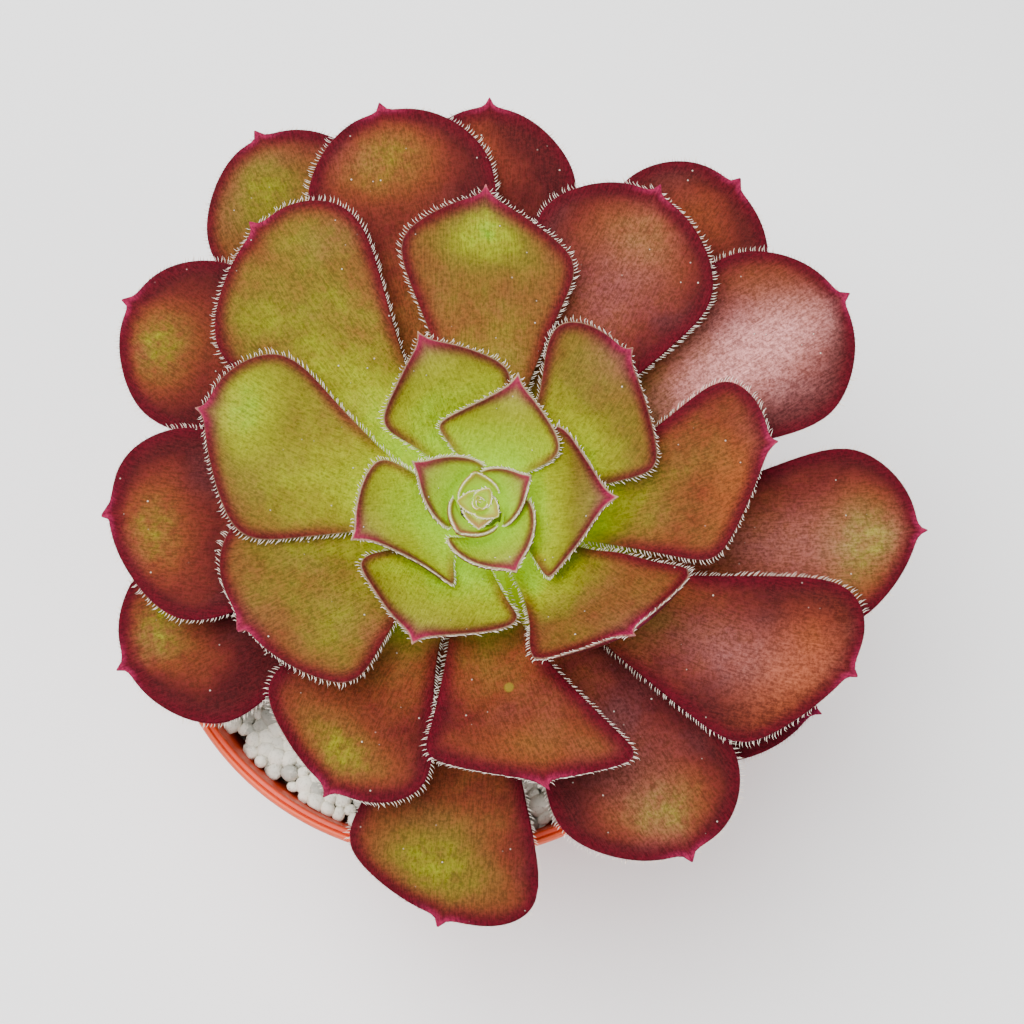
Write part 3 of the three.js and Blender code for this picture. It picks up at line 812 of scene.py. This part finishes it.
def leaf_noise(finish):
    """The noises that a leaf's finish is made of."""
    place = finish.position()
    return LeafNoise(
        haze=finish.noise(place, 75.0, 2.0),
        cloud=finish.noise(place, 110.0, 3.0),
        mottle=finish.noise(place, 480.0, 4.0, 0.65),
        grain=finish.noise(place, 1900.0, 4.0, 0.7),
        streak=finish.noise(finish.leaf_position(), (34.0, 4.5, 1.0), 3.0, 0.65),
    )


def flush_colour(finish, noise, settings):
    """From lime to maroon with the flush, with a sunlit patch and a painted pale sheen over that.
    """
    haze, cloud, mottle, grain, streak = noise
    age, flush, patch, glow, bloom = finish.attributes("age", "flush", "patch", "glow", "bloom")
    red = flush + age * (0.5 * cloud + 0.25 * mottle + 0.2 * streak + 0.2 * grain)
    red = red - 0.5 * patch * (1 - glow) * (1 + 2.0 * mottle + 1.2 * cloud)
    colour = finish.scale(red, [(place, getattr(settings, name)) for place, name in FLUSH_SCALE])
    colour = finish.mix(patch * glow * (0.8 + 0.9 * mottle + 0.5 * grain), colour, settings.ember)
    # Painted sheen: a faint haze of pale velvet highlight on old leaves, added to the painted sheen
    # of the blade
    painted_sheen_haze = finish.ease(haze, 0.02, 0.2) * age * 0.03
    bloom = (bloom + painted_sheen_haze) * (0.75 + 1.0 * mottle + 0.8 * grain + 0.8 * cloud)
    return finish.mix(bloom, colour, settings.bloom)


def margin_band(finish, noise):
    """The strength of the dark band inside the margin, with an uneven inner edge."""
    along, inward, age, apex, banded = finish.attributes("along", "inward", "age", "apex", "banded")
    uneven = 0.8 * noise.mottle + 0.4 * noise.grain
    width = BAND_WIDTH + BAND_AT_APEX * apex + BAND_WITH_AGE * age
    band = finish.ease(inward + uneven, width, BAND_FULL)
    return band * finish.ease(along, 0.15, 0.7) * banded * BAND_STRENGTH


def margin_colour(finish, noise, colour, settings):
    """What lies over the band: a painted pale sheen, a highlight behind a young leaf's tip, a
    rosy point, a rosy edge that is partly a painted highlight, and a cream edge on young leaves."""
    along, inward, age, apex = finish.attributes("along", "inward", "age", "apex")
    # Painted sheen: a pale highlight behind a young leaf's tip
    sheen = apex * finish.ease(inward, 0.5, 1.8) * (0.3 - 0.3 * age)
    colour = finish.mix(sheen, colour, settings.bloom)
    point = finish.ease(inward + 0.7 * noise.mottle, 2.0 - 0.6 * age, 0.2) * apex * apex
    colour = finish.mix(point * 0.8, colour, settings.rose)
    # The rosy edge: partly the margin's own colour, partly a painted highlight along its rounded
    # edge
    edge = finish.ease(inward, 0.35, 0.1) * finish.ease(along, 0.3, 0.8) * (0.2 + 0.2 * age)
    colour = finish.mix(edge, colour, settings.rose)
    young = finish.ease(inward, 0.4, 0.12) * (0.8 - 0.8 * age)
    return finish.mix(young, colour, settings.cream)


def leaf_finish(settings):
    """Velvety leaf: the colours of its flush, a dark band and pale edges along the margins,
    streaks and grain that shade it, a few cream specks and one dry spot, and painted shade
    toward the tip. Young tissue and the green bases of the leaves glow a little outside the
    band: painted light, given as emission, that brightens them where they lie in shade."""
    finish = Finish("velvet_leaf")
    noise = leaf_noise(finish)
    along, age, painted_glow = finish.attributes("along", "age", "painted_glow")
    colour = flush_colour(finish, noise, settings)
    band = margin_band(finish, noise)
    colour = finish.mix(band, colour, finish.mix(age * 1.4, settings.blush, settings.crimson))
    colour = margin_colour(finish, noise, colour, settings)
    velvet = 0.5 + (0.5 + age) * (1.7 * noise.grain + 1.2 * noise.streak)
    shade = finish.scale(velvet, [(0.15, VELVET_SHADE), (0.85, WHITE)])
    colour = finish.mix(1.0, colour, shade, "MULTIPLY")
    # Painted shade: the blade made darker toward its tip, by up to a quarter
    colour = finish.mix(finish.ease(along, 0.45, 0.8) * 0.25, colour, BLACK)
    place = finish.position()
    chosen = finish.ease(finish.cells(place, 520.0, "Color"), 0.62, 0.75)
    speck = finish.ease(finish.cells(place, 520.0), 0.1, 0.04) * chosen
    colour = finish.mix(speck * 0.75, colour, settings.hair)
    spot = rosette_shape(SPOTTED_LEAF, settings).point(
        np.array([SPOT_PLACE[0]]), np.array([SPOT_PLACE[1]]), 1.0)[0]
    dry = finish.ease(finish.distance(place, spot), SPOT_RADIUS * MM, 0.55 * SPOT_RADIUS * MM)
    colour = finish.mix(dry * 0.6, colour, settings.olive)
    finish.set(
        Base_Color=colour,
        Roughness=0.52 + 0.3 * noise.mottle,
        Specular_IOR_Level=0.06,
        # Painted light: a green glow outside the band, as emission
        Emission_Color=finish.mix(painted_glow * (1 - band), BLACK, PAINTED_GLOW_GREEN),
        Emission_Strength=1.0,
        Subsurface_Weight=0.05,
        Subsurface_Radius=(0.003, 0.002, 0.0008),
    )
    finish.bump(noise.grain + 0.8 * noise.streak + 1.5 * speck, 0.0003, 0.8)
    return finish.material


def hair_points(shape, settings, draws):
    """Roots, middles and tips of the hairs along both margins of a leaf. A hair leaves the
    margin outward, slanted toward the leaf's tip, and bends further that way."""
    chunks = []
    grown = min(1, 0.45 + shape.rank / 14)
    spacing = settings.hair_spacing / MM * grown
    length = settings.hair_length / MM * grown
    for edge, outward, normal in shape.margins(HAIR_ROWS):
        run = np.append(0, np.cumsum(np.linalg.norm(np.diff(edge, axis=0), axis=1)))
        first = BARE_SHARE * run[-1]
        count = int((run[-1] - BARE_TIP - first) / spacing)
        at = first + (np.arange(count) + draws.uniform(0, 0.8, count)) * spacing

        def along_margin(values, places):
            return np.stack([np.interp(places, run, axis) for axis in values.T], axis=-1)

        root = along_margin(edge, at)
        forward = unit(along_margin(edge, at + 0.3) - root)
        out, over = unit(along_margin(outward, at)), unit(along_margin(normal, at))
        slant = draws.uniform(*HAIR_SLANT, (count, 1))
        lift = draws.normal(*HAIR_LIFT, (count, 1))
        size = length * draws.uniform(*HAIR_SIZE, (count, 1))
        root = root - HAIR_ROOT * out
        middle = root + 0.5 * size * unit(out + slant * forward + lift * over)
        tip = middle + 0.5 * size * unit(out + 1.7 * slant * forward + lift * over)
        chunks.append((root, middle, tip))
    return [np.concatenate(parts) for parts in zip(*chunks)]


def build_hairs(name, shapes, settings, draws):
    """Hairs of several leaves as one mesh. Each is a three-sided spike of two steps: a
    triangle at its root, a slimmer one half way and a point."""
    root, middle, tip = (
        np.concatenate(parts) for parts in zip(*(hair_points(s, settings, draws) for s in shapes)))
    axis = unit(tip - root)
    cross = unit(np.cross(axis, UP + 0.01))
    other = np.cross(axis, cross)
    radius = settings.hair_radius / MM
    corners = []
    for centre, share in ((root, 1.0), (middle, 0.75)):
        for turn in 2 * math.pi * np.arange(3) / 3:
            out = math.cos(turn) * cross + math.sin(turn) * other
            corners.append(centre + share * radius * out)
    corners.append(tip)
    points = np.stack(corners, axis=1).reshape(-1, 3)
    pattern = np.array([
        (0, 2, 1), (0, 1, 4), (0, 4, 3), (1, 2, 5), (1, 5, 4), (2, 0, 3), (2, 3, 5),
        (3, 4, 6), (4, 5, 6), (5, 3, 6),
    ])
    first = len(corners) * np.arange(len(root))
    triangles = (first[:, None, None] + pattern[None]).reshape(-1, 3)
    return mesh_piece(name, Skin(points, np.zeros((0, 4), int), triangles))


def hair_finish(settings):
    """Pale hairs that let some light through."""
    finish = Finish("margin_hair")
    finish.set(
        Base_Color=settings.hair,
        Roughness=0.45,
        Subsurface_Weight=0.1,
        Subsurface_Radius=(0.0005, 0.0004, 0.0003),
    )
    return finish.material


def pot_radius(z):
    """Radius of the pot's outer wall at a height, a straight taper."""
    return lerp(FOOT_RADIUS, RIM_RADIUS - RIM_OVERHANG, z / POT_HEIGHT)


def rounded(corners, steps=5):
    """A profile with its corners rounded. Each corner is (radius, height, rounding), and
    its arc is a quadratic curve between the points a rounding before and after it."""
    points = np.array([corner[:2] for corner in corners], float)
    size = np.array([corner[2] for corner in corners], float)
    before, after = np.roll(points, 1, axis=0), np.roll(points, -1, axis=0)
    start = points + unit(before - points) * size[:, None]
    end = points + unit(after - points) * size[:, None]
    t = np.linspace(0, 1, steps)[None, :, None]
    arcs = (1 - t) ** 2 * start[:, None] + 2 * t * (1 - t) * points[:, None] + t * t * end[:, None]
    flat = arcs.reshape(-1, 2)
    return flat[np.append(True, np.linalg.norm(np.diff(flat, axis=0), axis=1) > 1e-6)]


def turned(profile, sides):
    """The profile, of radius and height, carried round the pot's axis: a grid of points
    with a row for each profile point and a column for each side."""
    angle = 2 * math.pi * np.arange(sides) / sides
    radius, height = profile[:, 0][:, None], profile[:, 1][:, None]
    return np.stack(
        [radius * np.cos(angle), radius * np.sin(angle), np.repeat(height, sides, axis=1)], axis=-1)


def weld(piece, distance):
    """Merges vertices that lie closer than the distance."""
    modifier = piece.modifiers.new("weld", "WELD")
    modifier.merge_threshold = distance
    depsgraph = bpy.context.evaluated_depsgraph_get()
    welded = bpy.data.meshes.new_from_object(piece.evaluated_get(depsgraph))
    piece.modifiers.remove(modifier)
    piece.data = welded


def drilled_floor(inner, outer, sides):
    """The ring of the pot's floor between two radii, one sector to a drain hole. Round each
    hole, points run from the sector's outline to the hole's rim, in equal shares, first on
    the underside and then back on the floor: a grid closed round the hole."""
    sector = sides // DRAIN_HOLES
    arc = np.linspace(-math.pi / DRAIN_HOLES, math.pi / DRAIN_HOLES, sector + 1)
    spokes = np.linspace(outer, inner, 7)
    outline = np.concatenate([
        np.stack([np.full(sector, outer), arc[:-1]], axis=-1),
        np.stack([spokes[:-1], np.full(6, arc[-1])], axis=-1),
        np.stack([np.full(sector, inner), arc[::-1][:-1]], axis=-1),
        np.stack([spokes[::-1][:-1], np.full(6, arc[0])], axis=-1),
    ])
    border = outline[:, :1] * np.stack([np.cos(outline[:, 1]), np.sin(outline[:, 1])], axis=-1)
    middle = np.array([DRAIN_RING, 0.0])
    rim = middle + DRAIN_RADIUS * unit(border - middle)
    shares = np.array([0.0, 0.5, 0.9, 1.0, 1.0, 0.9, 0.5, 0.0])
    heights = np.array([0.0, 0.0, 0.0, 0.15, FLOOR_THICKNESS - 0.15, *[FLOOR_THICKNESS] * 3])
    flat = border[None] + shares[:, None, None] * (rim - border)[None]
    level = np.repeat(heights[:, None], len(border), axis=1)
    rings = np.concatenate([flat, level[..., None]], axis=-1)
    holes = []
    for index in range(DRAIN_HOLES):
        turn = np.full(rings.shape[:2], 2 * math.pi * (index + 0.5) / DRAIN_HOLES)
        holes.append(turned_about(rings, np.array([0, 0, 1.0]), turn))
    return holes


def build_pot():
    """The pot: a turned wall, joined to a floor with eight holes. The wall's profile goes up
    the taper, out round the rim's band, over its bead and groove, and down the inside."""
    sides = 192
    band = POT_HEIGHT - RIM_BAND_HEIGHT
    lip = RIM_RADIUS - RIM_OVERHANG
    inner, outer = DRAIN_RING - 10, DRAIN_RING + 7
    profile = rounded([
        (FOOT_RADIUS, 0, 1.0),
        (pot_radius(band), band, 0.4),
        (RIM_RADIUS - 0.9, band, 0.3),
        (RIM_RADIUS - 0.2, POT_HEIGHT - 2.2, 0.4),
        (RIM_RADIUS, POT_HEIGHT - 1, 0.4),
        (RIM_RADIUS - 0.4, POT_HEIGHT - 0.12, 0.25),
        (RIM_RADIUS - 0.95, POT_HEIGHT - 0.12, 0.2),
        (RIM_RADIUS - 1.1, POT_HEIGHT - RIM_GROOVE_DEPTH, 0.1),
        (RIM_RADIUS - 1.25, POT_HEIGHT, 0.15),
        (lip - WALL + 0.3, POT_HEIGHT, 0.2),
        (lip - WALL, POT_HEIGHT - RIM_GROOVE_DEPTH, 0.2),
        (pot_radius(band) - WALL, band, 0.4),
        (pot_radius(FLOOR_THICKNESS) - WALL, FLOOR_THICKNESS, 0.8),
    ])
    profile = np.concatenate([[[outer, 0]], profile, [[outer, FLOOR_THICKNESS]]])
    grids = [
        turned(profile, sides),
        turned(np.array([[0.001, 0], [inner, 0]]), sides),
        turned(np.array([[inner, FLOOR_THICKNESS], [0.001, FLOOR_THICKNESS]]), sides),
        *drilled_floor(inner, outer, sides),
    ]
    points, quads = np.zeros((0, 3)), np.zeros((0, 4), int)
    for grid in grids:
        quads = np.concatenate([quads, grid_faces(*grid.shape[:2], True) + len(points)])
        points = np.concatenate([points, grid.reshape(-1, 3)])
    piece = mesh_piece("pot_shell", Skin(points, quads))
    weld(piece, 0.01 * MM)
    return piece


def pot_finish(settings):
    """Moulded terracotta plastic: slightly uneven colour, a bead round the rim made paler by
    painted highlight, fine turned lines on the wall, dust low down, small scuffs and a satin
    gloss."""
    finish = Finish("terracotta_plastic")
    place = finish.position()
    cloud = finish.noise(place, 60.0, 3.0)
    grain = finish.noise(place, 900.0, 3.0, 0.6)
    lines = finish.noise(place, (12.0, 12.0, 2600.0))
    scuff = finish.ease(finish.noise(place, (300.0, 300.0, 900.0), 4.0, 0.7), 0.14, 0.24)
    colour = finish.mix(0.5 + 0.7 * cloud, settings.terracotta, TERRACOTTA_LIGHT)
    height = finish.height()
    radius = finish.distance(finish.stretch(place, 1.0, 1.0, 0.0), (0, 0, 0))
    # Painted highlight: the rounded bead at the rim's top outer edge made paler
    outer = finish.ease(radius, (RIM_RADIUS - 1.2) * MM, (RIM_RADIUS - 0.8) * MM)
    bead = outer * finish.ease(height, (POT_HEIGHT - 2.5) * MM, (POT_HEIGHT - 0.8) * MM)
    colour = finish.mix(bead * 0.7, colour, PAINTED_BEAD_HIGHLIGHT)
    dust = finish.ease(height, DUST_HEIGHT * MM, 0.0) * (0.35 + 1.5 * cloud)
    colour = finish.mix(dust * 0.5, colour, POT_DUST)
    colour = finish.mix(scuff * 0.35, colour, POT_SCUFF)
    finish.set(
        Base_Color=colour,
        Roughness=0.48 + 0.2 * grain + 0.2 * scuff + 0.25 * dust,
        Specular_IOR_Level=0.3,
        Subsurface_Weight=0.05,
        Subsurface_Radius=(0.002, 0.001, 0.0005),
    )
    finish.bump(grain + 1.2 * lines, 0.00006, 0.6)
    return finish.material


def cube_sphere(cuts):
    """Points and quads of a unit sphere: the six sides of a cube, each cut into a grid by
    tangents of equal angles, with the points pushed out to the sphere."""
    lines = np.tan(np.linspace(-math.pi / 4, math.pi / 4, cuts + 1))
    a, b = np.meshgrid(lines, lines, indexing="ij")
    side = np.stack([a, b, np.ones_like(a)], axis=-1).reshape(-1, 3)
    quads = grid_faces(cuts + 1, cuts + 1, False)
    corners, faces = [], []
    for axis in range(3):
        for sign in (1, -1):
            corners.append(np.roll(side * (1, 1, sign), axis, axis=1))
            faces.append(quads[:, ::sign] + len(side) * len(faces))
    places = np.round(unit(np.concatenate(corners)), 6)
    points, merged = np.unique(places, axis=0, return_inverse=True)
    return points, merged.ravel()[np.concatenate(faces)]


def spread_out(places, limit, spacing, rounds):
    """Pushes neighbours in a disc apart, a step a round, until they lie a spacing apart."""
    for _ in range(rounds):
        gaps = places[:, None] - places[None]
        distance = np.linalg.norm(gaps, axis=-1) + 1e-9
        np.fill_diagonal(distance, np.inf)
        push = np.maximum(0, spacing - distance) / distance * PUSH
        places = places + (gaps * push[..., None]).sum(axis=1)
        radius = np.linalg.norm(places, axis=1, keepdims=True)
        places = places * np.minimum(1, limit / np.maximum(radius, 1e-9))
    return places


def build_stones(name, depth, cuts, share, seed, settings):
    """One layer of the pumice bed, its middle so many stone sizes under the bed's top, with a
    share of the top layer's stones. Each stone is a small sphere, scaled along three axes,
    dented by sines of its direction and turned."""
    draws = np.random.default_rng(seed)
    size = settings.stone_size / MM
    count = int(share * settings.stone_count)
    ball, quads = cube_sphere(cuts)
    inner_wall = pot_radius(PUMICE_TOP) - WALL
    stem = HEART - UP * BED_DROP
    ring = (inner_wall - size / 2) * np.sqrt(draws.uniform(0, 1, count))
    turn = draws.uniform(0, 2 * math.pi, count)
    places = np.stack([ring * np.cos(turn), ring * np.sin(turn)], axis=-1)
    reach = inner_wall - STONE_WALL_GAP * size
    places = spread_out(places, reach, STONE_SPACING * size, SPREAD_ROUNDS)
    clear = np.linalg.norm(places - stem[:2], axis=1) > STEM_RADIUS + STONE_STEM_GAP * size
    points, shades = [], []
    for place in places[clear]:
        scale = size / 2 * draws.uniform(0.8, 1.55) * draws.uniform(0.84, 1.14, 3)
        axis, _ = np.linalg.qr(draws.normal(size=(3, 3)))
        waves = np.sin(ball @ draws.normal(0, 2.2, (3, 2)) + draws.uniform(0, 6, 2))
        stone = (ball * (1 + STONE_DENT * waves.sum(axis=1))[:, None] * scale) @ axis
        level = PUMICE_TOP - depth * size + draws.normal(0, STONE_SCATTER * size)
        points.append(stone + (*place, level))
        # A smaller share also caps how pale a stone can be: the under layer comes out greyer,
        # painted shade in the gaps between the top stones, together with darker grit
        shades.append(share * draws.uniform())
    quads = np.concatenate([quads + index * len(ball) for index in range(len(points))])
    points = np.concatenate(points)
    radius = np.linalg.norm(points[:, :2], axis=1)
    points[:, :2] *= np.minimum(1, (inner_wall - 0.15) / np.maximum(radius, 1e-9))[:, None]
    values = {"shade": np.repeat(shades, len(ball))}
    return mesh_piece(name, Skin(points, quads, values=values))


def pumice_finish(settings):
    """Pumice: chalky stones from white to warm grey, with cream grain, and pores darkened by
    painted shade.
    """
    finish = Finish("pumice_stone")
    place = finish.position()
    shade = finish.attribute("shade")
    grain = finish.noise(place, 1300.0, 4.0, 0.7)
    pores = finish.ease(finish.cells(place, 2400.0), 0.3, 0.12)
    # Grey stones: their own random tone, and on the under layer also painted shade between the top
    # stones
    colour = finish.mix(finish.ease(shade, 0.05, 0.5), STONE_GREY, settings.pumice)
    colour = finish.mix(finish.ease(grain, 0.0, 0.2) * 0.5, colour, STONE_CREAM)
    # Painted shade: the pores' hollows made darker
    colour = finish.mix(pores * 0.3, colour, PAINTED_PORE_SHADE)
    finish.set(Base_Color=colour, Roughness=0.92, Specular_IOR_Level=0.2)
    finish.bump(grain - 0.6 * pores, 0.00035, 0.8)
    return finish.material


def soil_finish(settings):
    """Potting mix: dark fibres and crumbs with a few pale grains."""
    finish = Finish("potting_mix")
    place = finish.position()
    crumbs = finish.noise(place, 380.0, 5.0, 0.7)
    fibres = finish.noise(place, (900.0, 160.0, 300.0), 3.0, 0.6)
    pale = finish.ease(finish.cells(place, 240.0), 0.12, 0.06)
    colour = finish.mix(finish.ease(crumbs, -0.15, 0.2), settings.soil, SOIL_CRUMB)
    colour = finish.mix(finish.ease(fibres, 0.12, 0.22), colour, SOIL_FIBRE)
    colour = finish.mix(pale * 0.8, colour, SOIL_GRAIN)
    finish.set(Base_Color=colour, Roughness=0.95)
    finish.bump(crumbs + 0.5 * fibres, 0.0012, 0.9)
    return finish.material


def build_stem():
    """The stem as rings from foot to heart. Its axis is upright in the ground and bends
    onto the rosette's, its radius follows the solid's, and rows of old leaf scars in the
    golden angle's spiral raise its bark as bell curves."""
    rows, columns = 150, 60
    z = np.linspace(STEM_FOOT, HEART[2] - BUD_DROP, rows)
    axis = HEART + UP * ((z - HEART[2]) / UP[2])[:, None]
    base = HEART + UP * ((BEND_BOTTOM + BEND_TOP) / 2 - HEART[2]) / UP[2]
    bent = smoothstep(z, BEND_BOTTOM, BEND_TOP)
    centre = np.stack([np.full(rows, base[0]), lerp(base[1], axis[:, 1], bent), z], axis=-1)
    radius = stem_radius_at((HEART[2] - z) / UP[2])
    angle = 2 * math.pi * np.arange(columns) / columns
    relief = np.zeros((rows, columns))
    for index in range(SCARS):
        gap = (angle - index * GOLDEN_ANGLE + math.pi) % (2 * math.pi) - math.pi
        height = bell(z, SCAR_START + SCAR_SPACING * index, SCAR_HEIGHT)
        scar = height[:, None] * bell(gap * STEM_RADIUS, 0, SCAR_WIDTH)
        relief = np.maximum(relief, scar)
    bare = smoothstep(z, BEND_TOP + 2, BEND_TOP - 3)[:, None]
    swell = SCAR_DEPTH * (relief * bare - 1)
    circle = np.stack([np.cos(angle), np.sin(angle), np.zeros(columns)], axis=-1)
    rings = centre[:, None] + (radius[:, None] + swell)[..., None] * circle
    return mesh_piece("stem_bark", tube(rings))


def stem_finish(settings):
    """Bark from grey-brown in the ground to green under the heart, with fine cracks."""
    finish = Finish("stem_bark")
    grain = finish.noise(finish.position(), (900.0, 900.0, 220.0), 4.0, 0.65)
    young = finish.ease(finish.height(), GREEN_FROM * MM, GREEN_TO * MM)
    colour = finish.mix(0.5 + 1.2 * grain, settings.bark, BARK_LIGHT)
    colour = finish.mix(young, colour, BARK_GREEN)
    finish.set(Base_Color=colour, Roughness=0.8, Specular_IOR_Level=0.3)
    finish.bump(grain, 0.0005, 0.8)
    return finish.material


class AEONIUM_OT_leaves(bpy.types.Operator):
    """Makes the open leaves of the rosette"""

    bl_idname = "aeonium.leaves"
    bl_label = "Leaves"

    def execute(self, context):
        settings = context.scene.aeonium_leaf
        material = leaf_finish(settings)
        for rank, flush in enumerate(FLUSHES):
            skin = blade_skin(rosette_shape(rank, settings), flush, *BLADE_GRID)
            piece = mesh_piece(f"blade_{rank + 1:02d}", skin)
            slot = next(slot for _, end, slot in WHORLS if rank < end)
            place_piece(piece, material, slot, f"leaf_{rank + 1:02d}")
        return {"FINISHED"}


class AEONIUM_OT_heart(bpy.types.Operator):
    """Makes the folded leaflets of the heart"""

    bl_idname = "aeonium.heart"
    bl_label = "Heart"

    def execute(self, context):
        settings = context.scene.aeonium_leaf
        lime = Flush(*[0] * len(Flush._fields))
        shapes = [budlet_shape(index, settings) for index in range(len(BUDLETS))]
        skins = [blade_skin(shape, lime, *BUDLET_GRID) for shape in shapes]
        piece = mesh_piece("heart_leaflets", dome_skin(), *skins)
        place_piece(piece, bpy.data.materials["velvet_leaf"], "heart", "heart_bud")
        return {"FINISHED"}


class AEONIUM_OT_hairs(bpy.types.Operator):
    """Makes the hairs along the margins of all leaves"""

    bl_idname = "aeonium.hairs"
    bl_label = "Hairs"

    def execute(self, context):
        settings = context.scene.aeonium_leaf
        draws = np.random.default_rng(3)
        material = hair_finish(settings)
        whorl = [budlet_shape(index, settings) for index in range(len(BUDLETS))]
        first = 0
        for name, end, slot in WHORLS:
            whorl += [rosette_shape(rank, settings) for rank in range(first, end)]
            place_piece(build_hairs(f"hairs_{name}", whorl, settings, draws), material, slot)
            whorl, first = [], end
        return {"FINISHED"}


class AEONIUM_OT_stem(bpy.types.Operator):
    """Makes the woody stem"""

    bl_idname = "aeonium.stem"
    bl_label = "Stem"

    def execute(self, context):
        place_piece(build_stem(), stem_finish(context.scene.aeonium_pot), "stem", "stem")
        return {"FINISHED"}


class AEONIUM_OT_pot(bpy.types.Operator):
    """Makes the pot"""

    bl_idname = "aeonium.pot"
    bl_label = "Pot"

    def execute(self, context):
        place_piece(build_pot(), pot_finish(context.scene.aeonium_pot), "pot", "pot")
        return {"FINISHED"}


class AEONIUM_OT_fill(bpy.types.Operator):
    """Makes the pumice and finishes the potting mix under it"""

    bl_idname = "aeonium.fill"
    bl_label = "Pumice and potting mix"

    def execute(self, context):
        settings = context.scene.aeonium_pot
        material = pumice_finish(settings)
        top = build_stones("pumice_top_layer", 0.6, 3, 1.0, 7, settings)
        # Its smaller share also greys its stones: painted shade under the top layer, with darker
        # grit
        under = build_stones("pumice_under_layer", 1.2, 2, 0.6, 8, settings)
        place_piece(top, material, "pumice", "pumice")
        place_piece(under, material, "pumice")
        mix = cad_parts["potting_mix"]
        mix.data.materials.clear()
        mix.data.materials.append(soil_finish(settings))
        return {"FINISHED"}


class AEONIUM_OT_stage(bpy.types.Operator):
    """Makes the floor, the lights and the camera"""

    bl_idname = "aeonium.stage"
    bl_label = "Stage"

    def execute(self, context):
        self.make_floor()
        self.make_lights(context)
        self.make_camera(context)
        return {"FINISHED"}

    def make_floor(self):
        corners = FLOOR_REACH * np.array([(-1, -1, 0), (1, -1, 0), (1, 1, 0), (-1, 1, 0)])
        floor = mesh_piece("floor", Skin(corners, np.array([[0, 1, 2, 3]])))
        finish = Finish("pale_floor")
        finish.set(Base_Color=FLOOR_PALE, Roughness=0.9, Specular_IOR_Level=0.1)
        floor.data.materials.append(finish.material)

    def make_lights(self, context):
        world = bpy.data.worlds.new("studio")
        world.use_nodes = True
        background = world.node_tree.nodes["Background"]
        background.inputs["Color"].default_value = (*WHITE, 1)
        background.inputs["Strength"].default_value = WORLD_STRENGTH
        context.scene.world = world
        for name, place, size, power in LAMPS:
            light = bpy.data.lights.new(name, "AREA")
            light.shape = "DISK"
            light.size = size * MM
            light.energy = power
            lamp = bpy.data.objects.new(name, light)
            aim_at(lamp, np.array(place, float), LAMP_TARGET)
            context.scene.collection.objects.link(lamp)

    def make_camera(self, context):
        camera = bpy.data.objects.new("camera", bpy.data.cameras.new("camera"))
        camera.data.lens = CAMERA_LENS
        camera.data.sensor_width = 36.0
        camera.data.clip_start = 0.01
        back = np.array([0, -math.cos(CAMERA_ELEVATION), math.sin(CAMERA_ELEVATION)])
        aim_at(camera, CAMERA_TARGET + CAMERA_DISTANCE * back, CAMERA_TARGET)
        context.scene.collection.objects.link(camera)
        context.scene.camera = camera


def aim_at(thing, place, target):
    """Puts a lamp or camera at a place in millimetres, looking at the target."""
    thing.location = Vector(place * MM)
    thing.rotation_mode = "QUATERNION"
    thing.rotation_quaternion = Vector(target - place).to_track_quat("-Z", "Y")


class AEONIUM_PT_panel(bpy.types.Panel):
    """Lists the pieces and their settings"""

    bl_label = "Potted aeonium"
    bl_idname = "AEONIUM_PT_panel"
    bl_space_type = "VIEW_3D"
    bl_region_type = "UI"
    bl_category = "Aeonium"

    def draw(self, context):
        for operator in OPERATORS:
            self.layout.operator(operator.bl_idname)
        for settings in (context.scene.aeonium_leaf, context.scene.aeonium_pot):
            box = self.layout.box()
            for name in settings.__annotations__:
                box.prop(settings, name)


OPERATORS = (
    AEONIUM_OT_leaves,
    AEONIUM_OT_heart,
    AEONIUM_OT_hairs,
    AEONIUM_OT_stem,
    AEONIUM_OT_pot,
    AEONIUM_OT_fill,
    AEONIUM_OT_stage,
)
CLASSES = (AeoniumLeafSettings, AeoniumPotSettings, *OPERATORS, AEONIUM_PT_panel)


def register():
    for cls in CLASSES:
        bpy.utils.register_class(cls)
    bpy.types.Scene.aeonium_leaf = PointerProperty(type=AeoniumLeafSettings)
    bpy.types.Scene.aeonium_pot = PointerProperty(type=AeoniumPotSettings)


def unregister():
    del bpy.types.Scene.aeonium_pot
    del bpy.types.Scene.aeonium_leaf
    for cls in reversed(CLASSES):
        bpy.utils.unregister_class(cls)


def main():
    register()
    bpy.ops.aeonium.leaves()
    bpy.ops.aeonium.heart()
    bpy.ops.aeonium.hairs()
    bpy.ops.aeonium.stem()
    bpy.ops.aeonium.pot()
    bpy.ops.aeonium.fill()
    bpy.ops.aeonium.stage()


if __name__ == "__main__":
    main()
